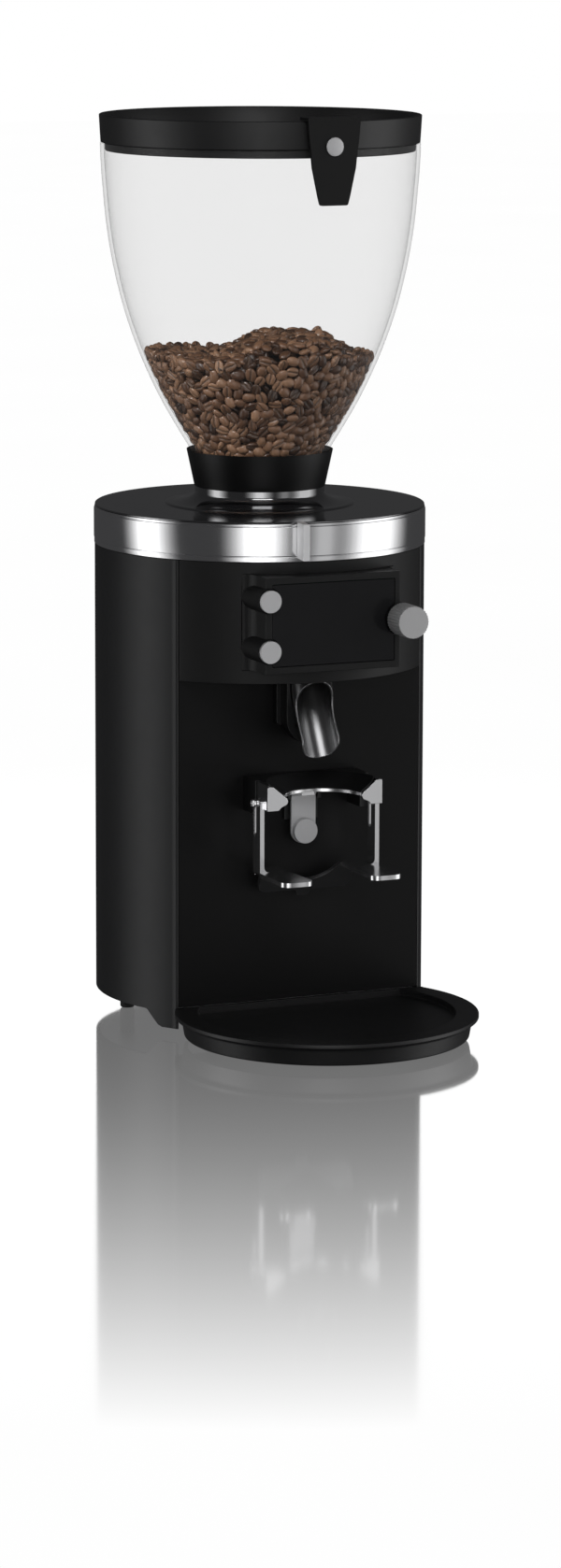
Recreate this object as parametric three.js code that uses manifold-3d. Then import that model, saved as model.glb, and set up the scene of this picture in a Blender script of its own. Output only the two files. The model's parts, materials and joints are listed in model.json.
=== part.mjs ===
// Burr coffee grinder with a bean hopper, portafilter holder and grounds tray.
// Millimetres, +Z up. The origin is on the axis of the round body at floor level; the front is -Y.
import * as THREE from 'three';
import { mergeVertices } from 'three/addons/utils/BufferGeometryUtils.js';
import ManifoldModule from 'manifold-3d';

const wasm = await ManifoldModule();
wasm.setup();
const { Manifold, Mesh: ManifoldMesh } = wasm;

// ---------- driving dimensions ----------
const GAP = 0.3; // clearance kept between neighbouring pieces
const BODY_R = 119.4; // round body, outside
const SHEET = 2; // wall of the body shell
const PANEL_Y = -73.3; // face of the flat front panel
const PANEL_HALF = 93.95; // half width of the panel opening
const CASE_Z = 16.3; // lower edge of the casing at the back
const SKIRT_Z = 4.6; // lower edge of the casing beside the tray
const HEAD_Z = 257.4; // underside of the head cover
const RING_Z = 344; // underside of the setting wheel
const RING_R = 120;
const CAP_Z = 372.3; // top face of the top cap
const NECK_R = 46.9; // flared neck under the hopper
const COLLAR_Z = 385; // underside of the hopper collar
const COLLAR_TOP_Z = 411;
const HOPPER_TOP_Z = 631.1;
const LID_TOP_Z = 651.4;
const BOX_HALF = 52; // display box, half width
const BOX_Y = -132; // display box, front face
const BOX_Z = [267.3, 335.8];
const BUTTON_X = -50;
const BUTTON_Z = [319.6, 283.8];
const BUTTON_R = 8;
const KNOB_X = 52;
const KNOB_Z = 301.7;
const KNOB_R = 11.7;
const SPOUT_TILT = 29; // degrees forward of vertical
const SPOUT_R = 14.6;
const SPOUT_ORIGIN = [0, -90.5, 253]; // a point on the spout's axis
const CRADLE_Y = -117; // centre of the round portafilter cradle
const CRADLE_R = 28.5;
const CRADLE_Z = 173.2; // underside of the cradle plate
const BLOCK_TOP_Z = 186;
const ARM_OUTER_X = 46.4;
const FORK_SHEET = 3.2; // sheet metal of the lower fork
const APRON_TILT = 28.5; // degrees from upright
const APRON_TOP_Y = -92.07; // front face where it meets the top of the prongs
const SCREW_Z = 170.3;
const SCREW_Y = -99.8;
const PRONG_TOP_Z = 121.4;
const PRONG_Z = PRONG_TOP_Z - FORK_SHEET;
const TRIGGER_PIVOT = [-79.4, 172]; // y, z of the lever's hinge
const TRIGGER_DISC_Z = 144.3;
const TRAY_Y = -122.8; // centre of the round tray
const TRAY_R = 108.6;
const TRAY_TOP_Z = 20;
const SHAFT_R = 6;
const BEARING_R = 13;

const group = new THREE.Group();
group.name = 'burr_coffee_grinder';

// ---------- materials ----------
const finish = (color, roughness, metalness, extra = {}) =>
  new THREE.MeshStandardMaterial({ color, roughness, metalness, ...extra });
const CASING = finish(0x26272a, 0.45, 0.2);
const PANEL = finish(0x121314, 0.5, 0.1);
const MOULDING = finish(0x1a1b1c, 0.6, 0);
const CHROME = finish(0xc9ccce, 0.12, 1);
const DARK_MIRROR = finish(0x6a6b6d, 0.15, 1);
const SATIN_STEEL = finish(0xb4b6b8, 0.38, 0.9);
const CLEAR = finish(0xf2f4f4, 0.05, 0, { transparent: true, opacity: 0.3 });
const SCREEN = finish(0x0c0d0f, 0.08, 0);
const BEAN = finish(0x5a3a28, 0.45, 0);
const RUBBER = finish(0x151515, 0.9, 0);
const STEEL = finish(0x8c8f92, 0.35, 0.9);
const BURR_STEEL = finish(0x9a9da0, 0.3, 1);
const CAST = finish(0x7d8084, 0.55, 0.7);
const COPPER = finish(0x8a4b2a, 0.5, 0.6);
const BOARD = finish(0x1c5a36, 0.6, 0);
const FAN_PLASTIC = finish(0x2a2a2c, 0.6, 0);

// ---------- mesh helpers ----------
const rad = (degrees) => (degrees * Math.PI) / 180;

// Welds a geometry and returns it as a manifold solid facing outwards.
function toSolid(geometry) {
  const bare = new THREE.BufferGeometry();
  bare.setAttribute('position', geometry.getAttribute('position'));
  if (geometry.index) bare.setIndex(geometry.index);
  const welded = mergeVertices(bare, 1e-4);
  const triangles = [];
  const index = welded.index.array;
  for (let i = 0; i < index.length; i += 3) {
    const [a, b, c] = [index[i], index[i + 1], index[i + 2]];
    if (a !== b && b !== c && c !== a) triangles.push(a, b, c);
  }
  if (signedVolume(welded, triangles) < 0) triangles.reverse();
  return new Manifold(
    new ManifoldMesh({
      numProp: 3,
      vertProperties: new Float32Array(welded.getAttribute('position').array),
      triVerts: new Uint32Array(triangles),
    }),
  );
}

function signedVolume(geometry, triangles) {
  const position = geometry.getAttribute('position');
  const corner = [new THREE.Vector3(), new THREE.Vector3(), new THREE.Vector3()];
  let sum = 0;
  for (let i = 0; i < triangles.length; i += 3) {
    corner.forEach((v, k) => v.fromBufferAttribute(position, triangles[i + k]));
    sum += corner[0].dot(corner[1].cross(corner[2])) / 6;
  }
  return sum;
}

function toGeometry(solid) {
  const mesh = solid.getMesh();
  const geometry = new THREE.BufferGeometry();
  geometry.setAttribute('position', new THREE.BufferAttribute(new Float32Array(mesh.vertProperties), 3));
  geometry.setIndex(new THREE.BufferAttribute(new Uint32Array(mesh.triVerts), 1));
  const flat = geometry.toNonIndexed();
  flat.computeVertexNormals();
  return flat;
}

function addPart(name, solid, material, parent = group) {
  const mesh = new THREE.Mesh(toGeometry(solid), material);
  mesh.name = name;
  parent.add(mesh);
  return mesh;
}

// Surface of revolution about Z from [radius, z] points.
function lathe(points, segments = 36) {
  const first = points[0];
  const last = points[points.length - 1];
  const profile = points.map(([r, z]) => new THREE.Vector2(r, z));
  if (first[0] !== 0 || last[0] !== 0) profile.push(profile[0].clone());
  return toSolid(new THREE.LatheGeometry(profile, segments).rotateX(Math.PI / 2));
}

const drum = (r, z0, z1, segments = 36) => lathe([[0, z0], [r, z0], [r, z1], [0, z1]], segments);

const tube = (outer, inner, z0, z1, segments = 40) =>
  lathe([[inner, z0], [outer, z0], [outer, z1], [inner, z1]], segments);

// Straight prism along Z from an outline of [x, y] points.
function prism(outline, z0, z1) {
  const shape = new THREE.Shape(outline.map(([x, y]) => new THREE.Vector2(x, y)));
  const geometry = new THREE.ExtrudeGeometry(shape, { depth: z1 - z0, bevelEnabled: false });
  return toSolid(geometry.translate(0, 0, z0));
}

// Prism along X from an outline of [y, z] points.
function prismX(outline, x0, x1) {
  const shape = new THREE.Shape(outline.map(([y, z]) => new THREE.Vector2(y, z)));
  const geometry = new THREE.ExtrudeGeometry(shape, { depth: x1 - x0, bevelEnabled: false });
  geometry.rotateX(Math.PI / 2).rotateZ(Math.PI / 2);
  return toSolid(geometry.translate(x0, 0, 0));
}

// Prism along Y from an outline of [x, z] points.
function prismY(outline, y0, y1) {
  const shape = new THREE.Shape(outline.map(([x, z]) => new THREE.Vector2(x, z)));
  const geometry = new THREE.ExtrudeGeometry(shape, { depth: y1 - y0, bevelEnabled: false });
  return toSolid(geometry.rotateX(Math.PI / 2).translate(0, y1, 0));
}

function box(x0, x1, y0, y1, z0, z1) {
  const geometry = new THREE.BoxGeometry(x1 - x0, y1 - y0, z1 - z0);
  return toSolid(geometry.translate((x0 + x1) / 2, (y0 + y1) / 2, (z0 + z1) / 2));
}

const block = (half, y0, y1, z0, z1) => box(-half, half, y0, y1, z0, z1);

// Round rod along Y or X.
function rodY(r, x, z, y0, y1, segments = 24) {
  const geometry = new THREE.CylinderGeometry(r, r, y1 - y0, segments);
  return toSolid(geometry.translate(x, (y0 + y1) / 2, z));
}

function rodX(r, y, z, x0, x1, segments = 20) {
  const geometry = new THREE.CylinderGeometry(r, r, x1 - x0, segments).rotateZ(Math.PI / 2);
  return toSolid(geometry.translate((x0 + x1) / 2, y, z));
}

const join = (...solids) => Manifold.union(solids);
const cut = (solid, ...tools) => solid.subtract(Manifold.union(tools));

// Points of an arc about (cx, cy); angle 0 is the front (-Y) and grows towards +X.
function arc(r, from, to, steps, cx = 0, cy = 0) {
  const points = [];
  for (let i = 0; i <= steps; i += 1) {
    const angle = rad(from + ((to - from) * i) / steps);
    points.push([cx + r * Math.sin(angle), cy - r * Math.cos(angle)]);
  }
  return points;
}

const frontAngle = (x, r) => (Math.asin(x / r) * 180) / Math.PI;

// ---------- outer body ----------
function sideCasing() {
  const inner = BODY_R - SHEET;
  const edge = frontAngle(PANEL_HALF + 2.35, BODY_R);
  const lip = frontAngle(PANEL_HALF, inner);
  const section = [
    ...arc(BODY_R, edge, 360 - edge, 48),
    [-PANEL_HALF - 1.7, PANEL_Y + 1],
    [-PANEL_HALF, PANEL_Y],
    ...arc(inner, 360 - lip, lip, 48),
    [PANEL_HALF, PANEL_Y],
    [PANEL_HALF + 1.7, PANEL_Y + 1],
  ];
  const shell = prism(section, SKIRT_Z, RING_Z - GAP);
  const raised = [
    [-48.2, CASE_Z], [130, CASE_Z], [130, 0], [-62, 0],
    [-61, SKIRT_Z + 0.3], [-58.6, SKIRT_Z + 1.2], [-57.2, SKIRT_Z + 2.6], [-49.6, CASE_Z - 0.8],
  ];
  const slots = [];
  for (let row = 0; row < 6; row += 1) {
    slots.push(block(34, 95, 125, 186 + row * 9, 189 + row * 9));
    slots.push(block(34, 95, 125, 88 + row * 9, 91 + row * 9));
  }
  return cut(
    shell,
    prismX(raised, -130, 130),
    box(-32.4, -3.6, 95, 125, 37.6, 62.4),
    box(10.6, 31.4, 95, 125, 39.6, 60.4),
    ...slots,
  );
}

function frontPanel() {
  const half = PANEL_HALF - GAP;
  const plate = block(half, PANEL_Y, PANEL_Y + 1.8, TRAY_TOP_Z + 0.4, HEAD_Z - GAP);
  return cut(plate, block(19, -76, -70, 246, 260), rodY(2.2, 0, TRIGGER_DISC_Z, -76, -70, 16));
}

// Plan of the display box with a small fillet where each side meets the round head.
function displayBoxPlan() {
  const fillet = [[56.6, -106.2], [54.2, -108.2], [52.6, -111], [BOX_HALF, -114]];
  return [
    [-50, -98],
    ...fillet.map(([x, y]) => [-x, y]),
    [-BOX_HALF, BOX_Y],
    [BOX_HALF, BOX_Y],
    ...fillet.reverse(),
    [50, -98],
  ];
}

function headCover() {
  const half = PANEL_HALF - 0.35;
  const outerEdge = frontAngle(half, BODY_R);
  const innerR = BODY_R - 2.2;
  const innerEdge = frontAngle(half, innerR);
  const shellPlan = [...arc(BODY_R, -outerEdge, outerEdge, 28), ...arc(innerR, innerEdge, -innerEdge, 28)];
  const floorPlan = [...arc(BODY_R, -outerEdge, outerEdge, 28), [half, -70.6], [-half, -70.6]];
  const shell = prism(shellPlan, HEAD_Z, RING_Z - GAP);
  const floor = prism(floorPlan, HEAD_Z, HEAD_Z + 2.2);
  const displayBox = cut(prism(displayBoxPlan(), ...BOX_Z), drum(innerR, HEAD_Z, RING_Z));
  const hollow = block(BOX_HALF - 2.5, BOX_Y + 2.5, -90, BOX_Z[0] + 2.5, BOX_Z[1] - 2.5);
  const window = block(47.2, BOX_Y - 1, BOX_Y + 4, 272.3, 330.9);
  const barrels = BUTTON_Z.map((z) => rodY(8.9, BUTTON_X, z, BOX_Y - 2.5, -100));
  barrels.push(rodY(11.2, KNOB_X, KNOB_Z, BOX_Y - 0.6, -100));
  const bores = BUTTON_Z.flatMap((z) => [
    rodY(BUTTON_R + GAP, BUTTON_X, z, BOX_Y - 4, -127.6),
    rodY(3.3, BUTTON_X, z, BOX_Y - 4, -90, 20),
  ]);
  bores.push(rodY(3.4, KNOB_X, KNOB_Z, BOX_Y - 4, -90, 20));
  const body = join(cut(join(shell, floor, displayBox), hollow, window), ...barrels);
  return cut(body, ...bores, spoutRod(SPOUT_R + 0.6, -30, 30));
}

function settingRing() {
  return lathe([
    [119.7, RING_Z], [119.7, 347.4], [119.3, 347.7], [RING_R, 348.1], [RING_R, 368.8],
    [119.3, 369.2], [119.6, 369.5], [119.4, 370.9], [116, 370.9], [116, 350],
    [56.4, 350], [56.4, 322], [61, 322], [61, 346.4], [114, 346.4], [114, RING_Z],
  ], 48);
}

function settingPointer() {
  const length = [RING_R + GAP, 139];
  const solid = box(-2.35, 2.35, -length[1], -length[0], 347, 372.9);
  return solid.rotate([0, 0, -9.7]);
}

function topCap() {
  const flare = [];
  for (let i = 0; i <= 4; i += 1) {
    const t = i / 4;
    const angle = (t * Math.PI) / 2;
    flare.push([67.4 - 20.5 * Math.sin(angle), CAP_Z + 0.9 + 8 * (1 - Math.cos(angle))]);
  }
  return lathe([
    [119.1, 371.2], [119.2, 371.9], [118.7, CAP_Z], [68.6, CAP_Z], [68.2, CAP_Z + 0.7],
    ...flare, [NECK_R, COLLAR_Z - GAP], [36.5, COLLAR_Z - GAP],
    [36.5, 336], [55.8, 336], [55.8, 338.4], [40, 338.4], [40, 368.9], [112, 368.9], [112, 371.2],
  ], 48);
}

function basePlate() {
  return cut(drum(116.8, 17, 21), block(130, -130, -70.9, 10, 30));
}

const FEET = [[-92, 30], [92, 30], [-60, -56], [60, -56], [0, 92], [0, 0]];

function foot([x, y]) {
  return lathe([[0, 0], [4.6, 0], [5.2, 0.8], [5.2, 16.7], [0, 16.7]], 18).translate([x, y, 0]);
}

// ---------- controls ----------
function controlCuts() {
  const holes = BUTTON_Z.map((z) => rodY(9.3, BUTTON_X, z, -140, -110));
  holes.push(rodY(11.6, KNOB_X, KNOB_Z, -140, -110));
  return holes;
}

function displayGlass() {
  return cut(block(46.9, BOX_Y + 0.3, BOX_Y + 2.6, 272.6, 330.6), ...controlCuts());
}

function displayBoard() {
  return cut(block(49.1, BOX_Y + 2.9, -122, 270.2, 332.9), ...controlCuts());
}

function button(z) {
  const cap = rodY(BUTTON_R, BUTTON_X, z, -136.5, -130.4);
  return join(cap, rodY(3, BUTTON_X, z, -130.6, -98.5, 20));
}

function knobSpindle() {
  return rodY(3, KNOB_X, KNOB_Z, -147, -98.5, 20);
}

function knob() {
  const flutes = 30;
  const outline = [];
  for (let i = 0; i < flutes; i += 1) {
    for (const [share, r] of [[0, KNOB_R - 0.45], [0.3, KNOB_R], [0.7, KNOB_R]]) {
      const angle = ((i + share) / flutes) * 2 * Math.PI;
      outline.push([KNOB_X + r * Math.sin(angle), KNOB_Z + r * Math.cos(angle)]);
    }
  }
  return cut(prismY(outline, -153.5, BOX_Y - 1.8), rodY(3.3, KNOB_X, KNOB_Z, -147.4, -130, 20));
}

function controlBoard() {
  const parts = [block(35, 80.6, 82.4, 120, 235)];
  const components = [[-20, 205, 9, 24, 14], [12, 210, 12, 16, 10], [0, 150, 16, 30, 12]];
  for (const [x, z, half, height, depth] of components) {
    parts.push(box(x - half, x + half, 80.8 - depth, 80.8, z - height / 2, z + height / 2));
  }
  return join(...parts);
}

function powerInlet() {
  const body = join(box(-32, -4, 96, 119.9, 38, 62), box(-35, -1, 119.7, 121.7, 35, 65));
  const pins = [-24, -18, -12].map((x) => box(x - 1, x + 1, 105, 118, 47, 53));
  return join(cut(body, box(-29.5, -6.5, 106, 125, 41, 59)), ...pins);
}

function switchFrame() {
  const body = join(box(11, 31, 98, 119.9, 40, 60), box(8, 34, 119.7, 121.7, 37, 63));
  return cut(body, box(13, 29, 107, 125, 42, 58));
}

function powerRocker() {
  const outline = [[-5, -4.5], [5.4, -6.6], [4.2, 0], [5.4, 6.6], [-5, 4.5]];
  const solid = prismX(outline, 13.4, 28.6);
  return solid.rotate([-7, 0, 0]).translate([0, 116, 50]);
}

// ---------- outlet and portafilter holder ----------
// Rod round the spout's axis, from below to above its origin point.
function spoutRod(r, low, high, segments = 40) {
  return drum(r, low, high, segments).rotate([-SPOUT_TILT, 0, 0]).translate(SPOUT_ORIGIN);
}

// The spout is a tube whose front is cut away into an open chute.
function spout() {
  const top = 10.3;
  const wall = 1.2;
  const pipe = tube(SPOUT_R, SPOUT_R - wall, -56, top, 40);
  const mouth = [
    [-16, -4.2], [-14.6, -5], [-12, -6.2], [-9, -8], [-5.5, -10.6], [-2, -13.6], [0.4, -17],
    [1.6, -22], [1.8, -27], [1.2, -34], [0.6, -40], [1.2, -43.6], [3, -46.4], [6, -49],
    [10, -51.2], [16, -52.6], [16, -70], [-40, -70], [-40, -4.2],
  ];
  const open = cut(pipe, prismX(mouth, -20, 20));
  return open.rotate([-SPOUT_TILT, 0, 0]).translate(SPOUT_ORIGIN);
}

function spoutPlate() {
  const top = HEAD_Z - GAP;
  const outline = [[-20.9, top], [-20.9, 223.5], [-19, 221.8], [19, 221.8], [20.9, 223.5], [20.9, top]];
  return cut(prismY(outline, -79.6, PANEL_Y - GAP), spoutRod(SPOUT_R + 0.5, -60, 30));
}

// U-shaped clip that holds the spout against its plate.
function spoutClamp() {
  const bendZ = 227;
  const outer = prismY([[17.6, 256.8], [-17.6, 256.8], ...arc(17.6, -90, 90, 12, 0, bendZ)], -90.5, -79.9);
  const inner = prismY([[11.4, 250], [-11.4, 250], ...arc(11.4, -90, 90, 10, 0, bendZ)], -95, -70);
  return cut(outer, inner, spoutRod(SPOUT_R + 0.5, -60, 30));
}

function outletChute() {
  const hood = block(17, -101.5, -56.4, 263, 290);
  const channel = block(13, -98.5, -50, 269.5, 287);
  return cut(hood, channel, spoutRod(SPOUT_R + GAP, -30, 10.6), spoutRod(13.3, 0, 22));
}

// Conical seat that guides a portafilter into the cradle.
function cradleCone() {
  const mouth = CRADLE_R + 13;
  const seatZ = CRADLE_Z + 2.6;
  return lathe([
    [0, CRADLE_Z - 5], [CRADLE_R, CRADLE_Z - 5], [CRADLE_R, seatZ], [mouth, seatZ + 10.2],
    [mouth + 3, BLOCK_TOP_Z + 4], [0, BLOCK_TOP_Z + 4],
  ], 48).translate([0, CRADLE_Y, 0]);
}

function holderBlock() {
  const slab = block(43.9, -95.3, PANEL_Y - GAP, 161, BLOCK_TOP_Z);
  const wings = block(40.3, -115.6, -95, CRADLE_Z + 2.8, BLOCK_TOP_Z);
  const under = block(37.5, -96, -70, 150, CRADLE_Z + 2.8);
  const corners = [-1, 1].map((side) =>
    prism([[side * 45, -116.5], [side * 45, -108], [side * 36, -116.5]], 160, 190),
  );
  return cut(join(slab, wings), under, cradleCone(), ...corners);
}

// Box between two X values given in either order.
const boxX = (x0, x1, ...rest) => box(Math.min(x0, x1), Math.max(x0, x1), ...rest);

function upperFork() {
  const plan = [
    [-42.6, -116.2], [42.6, -116.2], [42.6, -95.7], [37.1, -95.7],
    [37.1, -84.2], [-37.1, -84.2], [-37.1, -95.7], [-42.6, -95.7],
  ];
  const throat = drum(CRADLE_R, 160, 190).translate([0, CRADLE_Y, 0]);
  const plate = cut(prism(plan, CRADLE_Z, CRADLE_Z + 2.5), throat);
  const tab = block(5, -88.7, -86.6, CRADLE_Z - 2.4, CRADLE_Z + 0.5);
  const ear = [
    [44.5, 167.1], [44.5, 183.6], [43.6, 184.8], [40.4, 184.7], [32.6, 178], [29.4, 175.7],
    [28.7, 173.6], [29.6, 171.2], [34, 169.2], [37.8, 167.1],
  ];
  const sides = [-1, 1].flatMap((side) => [
    prismY(ear.map(([x, z]) => [side * x, z]), -118.4, -116),
    boxX(side * 40.6, side * 42.6, -116.4, -96.6, 167.2, BLOCK_TOP_Z - 1),
  ]);
  return cut(join(plate, tab, ...sides), rodX(2.3, SCREW_Y, SCREW_Z, -60, 60, 20));
}

// One slotted upright that bends at its foot into a flat prong.
function forkSide(side) {
  const inner = ARM_OUTER_X - FORK_SHEET;
  const front = -109.4;
  const back = -96.8;
  const slotEnd = 149.4;
  const arm = prismX([
    [front, PRONG_Z + 1], [back, PRONG_Z + 1], [back, 171.4],
    [-98.6, 173.4], [-107.6, 173.4], [front, 171.4],
  ], inner, ARM_OUTER_X);
  const slot = join(
    box(30, 60, SCREW_Y - 2.4, SCREW_Y + 2.4, slotEnd, SCREW_Z),
    rodX(2.4, SCREW_Y, SCREW_Z, 30, 60, 20),
    rodX(2.4, SCREW_Y, slotEnd, 30, 60, 20),
  );
  const prong = prism([
    [25.3, -88.4], [40.4, -88.4], [ARM_OUTER_X, -99], [ARM_OUTER_X, -145.4], [45.6, -148.4],
    [43, -150.8], [39.6, -151.8], [30, -151.8], [26.6, -150.6], [24, -148.2], [22.6, -145],
  ], PRONG_Z, PRONG_TOP_Z);
  const bend = prismY([
    [inner + 0.2, PRONG_TOP_Z - 0.1], [inner - 4, PRONG_TOP_Z - 0.1],
    [inner - 1.2, PRONG_TOP_Z + 1.1], [inner + 0.2, PRONG_TOP_Z + 3.9],
  ], front, back);
  const solid = join(cut(arm, slot), prong, bend);
  return side > 0 ? solid : solid.mirror([1, 0, 0]);
}

// Sloping plate behind the prongs, hollowed for the portafilter, with a drip tab.
// Its outline is [x, distance down the slope].
function forkApron() {
  const hollowR = 28;
  const centre = 13.3;
  const spread = (Math.acos(centre / hollowR) * 180) / Math.PI;
  const hollow = arc(hollowR, -spread, spread, 16, 0, 0).map(([x, y]) => [x, -y - centre]);
  const right = [[36.5, 0], [36.5, 16.9], [35.2, 20.7], [31.5, 23.2], [6.5, 23.2], [4.2, 28.2]];
  const left = right.map(([x, s]) => [-x, s]).reverse();
  const plate = prism([...hollow, ...right, ...left], 0, FORK_SHEET).rotate([APRON_TILT - 90, 0, 0]);
  const above = block(50, -110, -70, PRONG_TOP_Z, 140);
  return cut(plate.translate([0, APRON_TOP_Y, PRONG_TOP_Z]), above);
}

const lowerFork = () => join(forkSide(-1), forkSide(1), forkApron());

function clampScrew(side) {
  const head = rodX(3.4, SCREW_Y, SCREW_Z, ARM_OUTER_X + GAP, ARM_OUTER_X + 2.5);
  const shank = rodX(2, SCREW_Y, SCREW_Z, 38, ARM_OUTER_X + 0.5, 20);
  const cross = [
    box(ARM_OUTER_X + 1.6, 60, SCREW_Y - 2, SCREW_Y + 2, SCREW_Z - 0.4, SCREW_Z + 0.4),
    box(ARM_OUTER_X + 1.6, 60, SCREW_Y - 0.4, SCREW_Y + 0.4, SCREW_Z - 2, SCREW_Z + 2),
  ];
  const solid = cut(join(head, shank), ...cross);
  return side > 0 ? solid : solid.mirror([1, 0, 0]);
}

function triggerBracket() {
  const [y, z] = TRIGGER_PIVOT;
  const plate = cut(block(13, -75.8, PANEL_Y - GAP, 152, 175.2), block(4, -80, -70, 140, 158));
  const ears = [-1, 1].map((side) => boxX(side * 10.2, side * 13, -82.2, -75.6, 167.5, 175.2));
  return join(plate, ...ears, rodX(1, y, z, -11, 11, 16));
}

function triggerLever() {
  const [y, z] = TRIGGER_PIVOT;
  const outline = [[9.5, z], [-9.5, z], ...arc(9.5, -90, 90, 14, 0, TRIGGER_DISC_Z)];
  const plate = prismY(outline, y - 1.1, y + 1.1);
  return cut(join(plate, rodX(2.5, y, z, -9.5, 9.5)), rodX(1.35, y, z, -12, 12, 16));
}

function triggerDisc() {
  return rodY(9, 0, TRIGGER_DISC_Z, -85.3, TRIGGER_PIVOT[0] - 1.1 - GAP, 48);
}

function triggerSwitch() {
  return join(block(7, -69, -61, 138, 152), rodY(1.6, 0, TRIGGER_DISC_Z, -75.7, -68.8, 16));
}

function tray() {
  const rear = PANEL_Y - GAP;
  const dish = lathe([
    [0, 15.2], [91.6, 15.2], [92, 15.6], [92, TRAY_TOP_Z], [108.1, TRAY_TOP_Z], [TRAY_R, 19.5],
    [TRAY_R, 17.2], [108, 16.8], [105, 16.3], [103.8, 14.6], [102, 4.2], [101.4, 3.5], [99.4, 3.5],
    [101, 13.2], [0, 13.2],
  ], 48).translate([0, TRAY_Y, 0]);
  const rim = drum(TRAY_R, 13.2, TRAY_TOP_Z, 48).translate([0, TRAY_Y, 0]);
  const wall = rim.intersect(block(120, rear - 2.4, rear, 13.2, TRAY_TOP_Z));
  return join(cut(dish, block(150, rear, 100, 0, 30)), wall);
}

// ---------- grinding unit ----------
function chassis() {
  const wall = block(48, 84, 88, 21.3, 257);
  const shelf = cut(drum(111, 256, 261), block(130, -130, -68, 250, 270), drum(14, 250, 270, 40));
  const foundation = block(48, 62, 88, 21.3, 25.3);
  return join(wall, shelf, foundation);
}

function motorCan() {
  const shell = lathe([
    [16, 110], [56, 110], [56, 240], [52.6, 240], [52.6, 114], [16, 114],
  ]);
  const seatR = BEARING_R + GAP;
  const seat = lathe([[9, 110], [16.2, 110], [16.2, 124], [seatR, 124], [seatR, 114], [9, 114]], 32);
  return join(shell, seat);
}

const stator = () => tube(52.2, 33.2, 140, 215, 32);
const motorCap = () => tube(56, BEARING_R + GAP, 240.3, 255.7, 32);
const bearing = (z) => tube(BEARING_R, SHAFT_R + 0.05, z, z + 8, 24);
const rotor = () => tube(32.2, SHAFT_R + GAP, 142, 213, 32);

function motorShaft() {
  return drum(SHAFT_R, 82, 285, 32);
}

function coolingFan() {
  const blades = [];
  for (let i = 0; i < 7; i += 1) {
    const blade = box(9, 44, -0.8, 0.8, -7, 7).rotate([24, 0, 0]);
    blades.push(blade.rotate([0, 0, (i * 360) / 7]).translate([0, 0, 95]));
  }
  const hub = drum(11, 86, 104, 24);
  return cut(join(hub, ...blades), drum(SHAFT_R + GAP, 80, 110, 24));
}

function burrChamber() {
  const cup = lathe([[13, 261.3], [56, 261.3], [56, 335.7], [47.4, 335.7], [47.4, 266.3], [13, 266.3]]);
  return cut(cup, block(12, -60, -40, 267.5, 285));
}

function lowerCarrier() {
  const disc = lathe([
    [SHAFT_R + GAP, 266.8], [12, 266.8], [12, 271], [43, 271], [43, 281.7], [SHAFT_R + GAP, 281.7],
  ]);
  const sweepers = [0, 120, 240].map((turn) => box(42, 46, -3, 3, 271, 278).rotate([0, 0, turn]));
  return join(disc, ...sweepers);
}

// Ring with radial cutting grooves on one face.
function burr(z0, z1, inner, faceUp) {
  const outer = 43;
  const face = faceUp ? z1 : z0;
  const ring = tube(outer, inner, z0, z1);
  const grooves = [];
  for (let i = 0; i < 12; i += 1) {
    const groove = box(inner + 4, outer + 2, -0.9, 0.9, face - 1.4, face + 1.4);
    grooves.push(groove.rotate([0, 0, i * 30]));
  }
  return cut(ring, ...grooves);
}

function upperCarrier() {
  return lathe([
    [27, 299.6], [46.8, 299.6], [46.8, 330], [36.6, 330], [34, 322], [27, 306],
  ]);
}

// ---------- hopper ----------
const HOPPER_WALL = 2.6;
const hopperCurve = new THREE.SplineCurve(
  [
    [44.4, 391.9], [45.6, 400], [49.2, 409], [54.4, 418], [59.6, 426.5], [72.9, 450], [86.6, 480],
    [97.2, 510], [104.8, 540], [110, 570], [113, 600], [114.4, 620], [114.7, HOPPER_TOP_Z],
  ].map(([r, z]) => new THREE.Vector2(r, z)),
);

// Points of the hopper wall moved inwards by a distance measured square to the wall.
function hopperLine(offset, steps = 10) {
  const points = [];
  for (let i = 0; i <= steps; i += 1) {
    const point = hopperCurve.getPoint(i / steps);
    const tangent = hopperCurve.getTangent(i / steps);
    const atEnd = i === 0 || i === steps;
    const z = atEnd ? point.y : point.y + tangent.x * offset;
    points.push([point.x - (atEnd ? 1 : tangent.y) * offset, z]);
  }
  return points;
}

function hopperShell() {
  return lathe([...hopperLine(0), ...hopperLine(HOPPER_WALL).reverse()], 48);
}

function hopperCollar() {
  const outer = [[47.3, COLLAR_Z], [52.9, COLLAR_TOP_Z]];
  const body = lathe([
    [26, COLLAR_Z - 6], [36, COLLAR_Z - 6], [36, COLLAR_Z], ...outer, [51.6, COLLAR_TOP_Z],
    [49.9, 408.4], [46.4, 400.4], [45.6, 391.2], [45.6, 388], [26, 388],
  ]);
  return cut(body, box(-31, 31, 20, 60, 388.2, 391.4));
}

function gate() {
  const plate = [[-30, 53.5], [-30, -25], [-25, -30], [25, -30], [30, -25], [30, 53.5]];
  const grip = block(14, 50, 53.5, 388.4, 393);
  return join(prism(plate, 388.4, 390.4), grip);
}

function beanFill() {
  const wall = hopperLine(HOPPER_WALL + 0.5).filter(([, z]) => z > 394 && z < 470);
  return lathe([[0, 392.4], [40.6, 392.4], ...wall, [78, 479], [72, 484.5], [45, 487], [20, 492], [0, 495]]);
}

function lid() {
  return lathe([
    [0, 636], [106, 636], [108.4, 638], [112.6, 650.8], [113.2, LID_TOP_Z], [115, LID_TOP_Z], [115.5, 650.8],
    [114.4, 631.9], [113.9, HOPPER_TOP_Z + GAP], [111.4, HOPPER_TOP_Z + GAP], [111.2, 625.6], [108.8, 625.6],
    [108.6, 633], [106, 634], [0, 634],
  ], 48);
}

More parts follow.
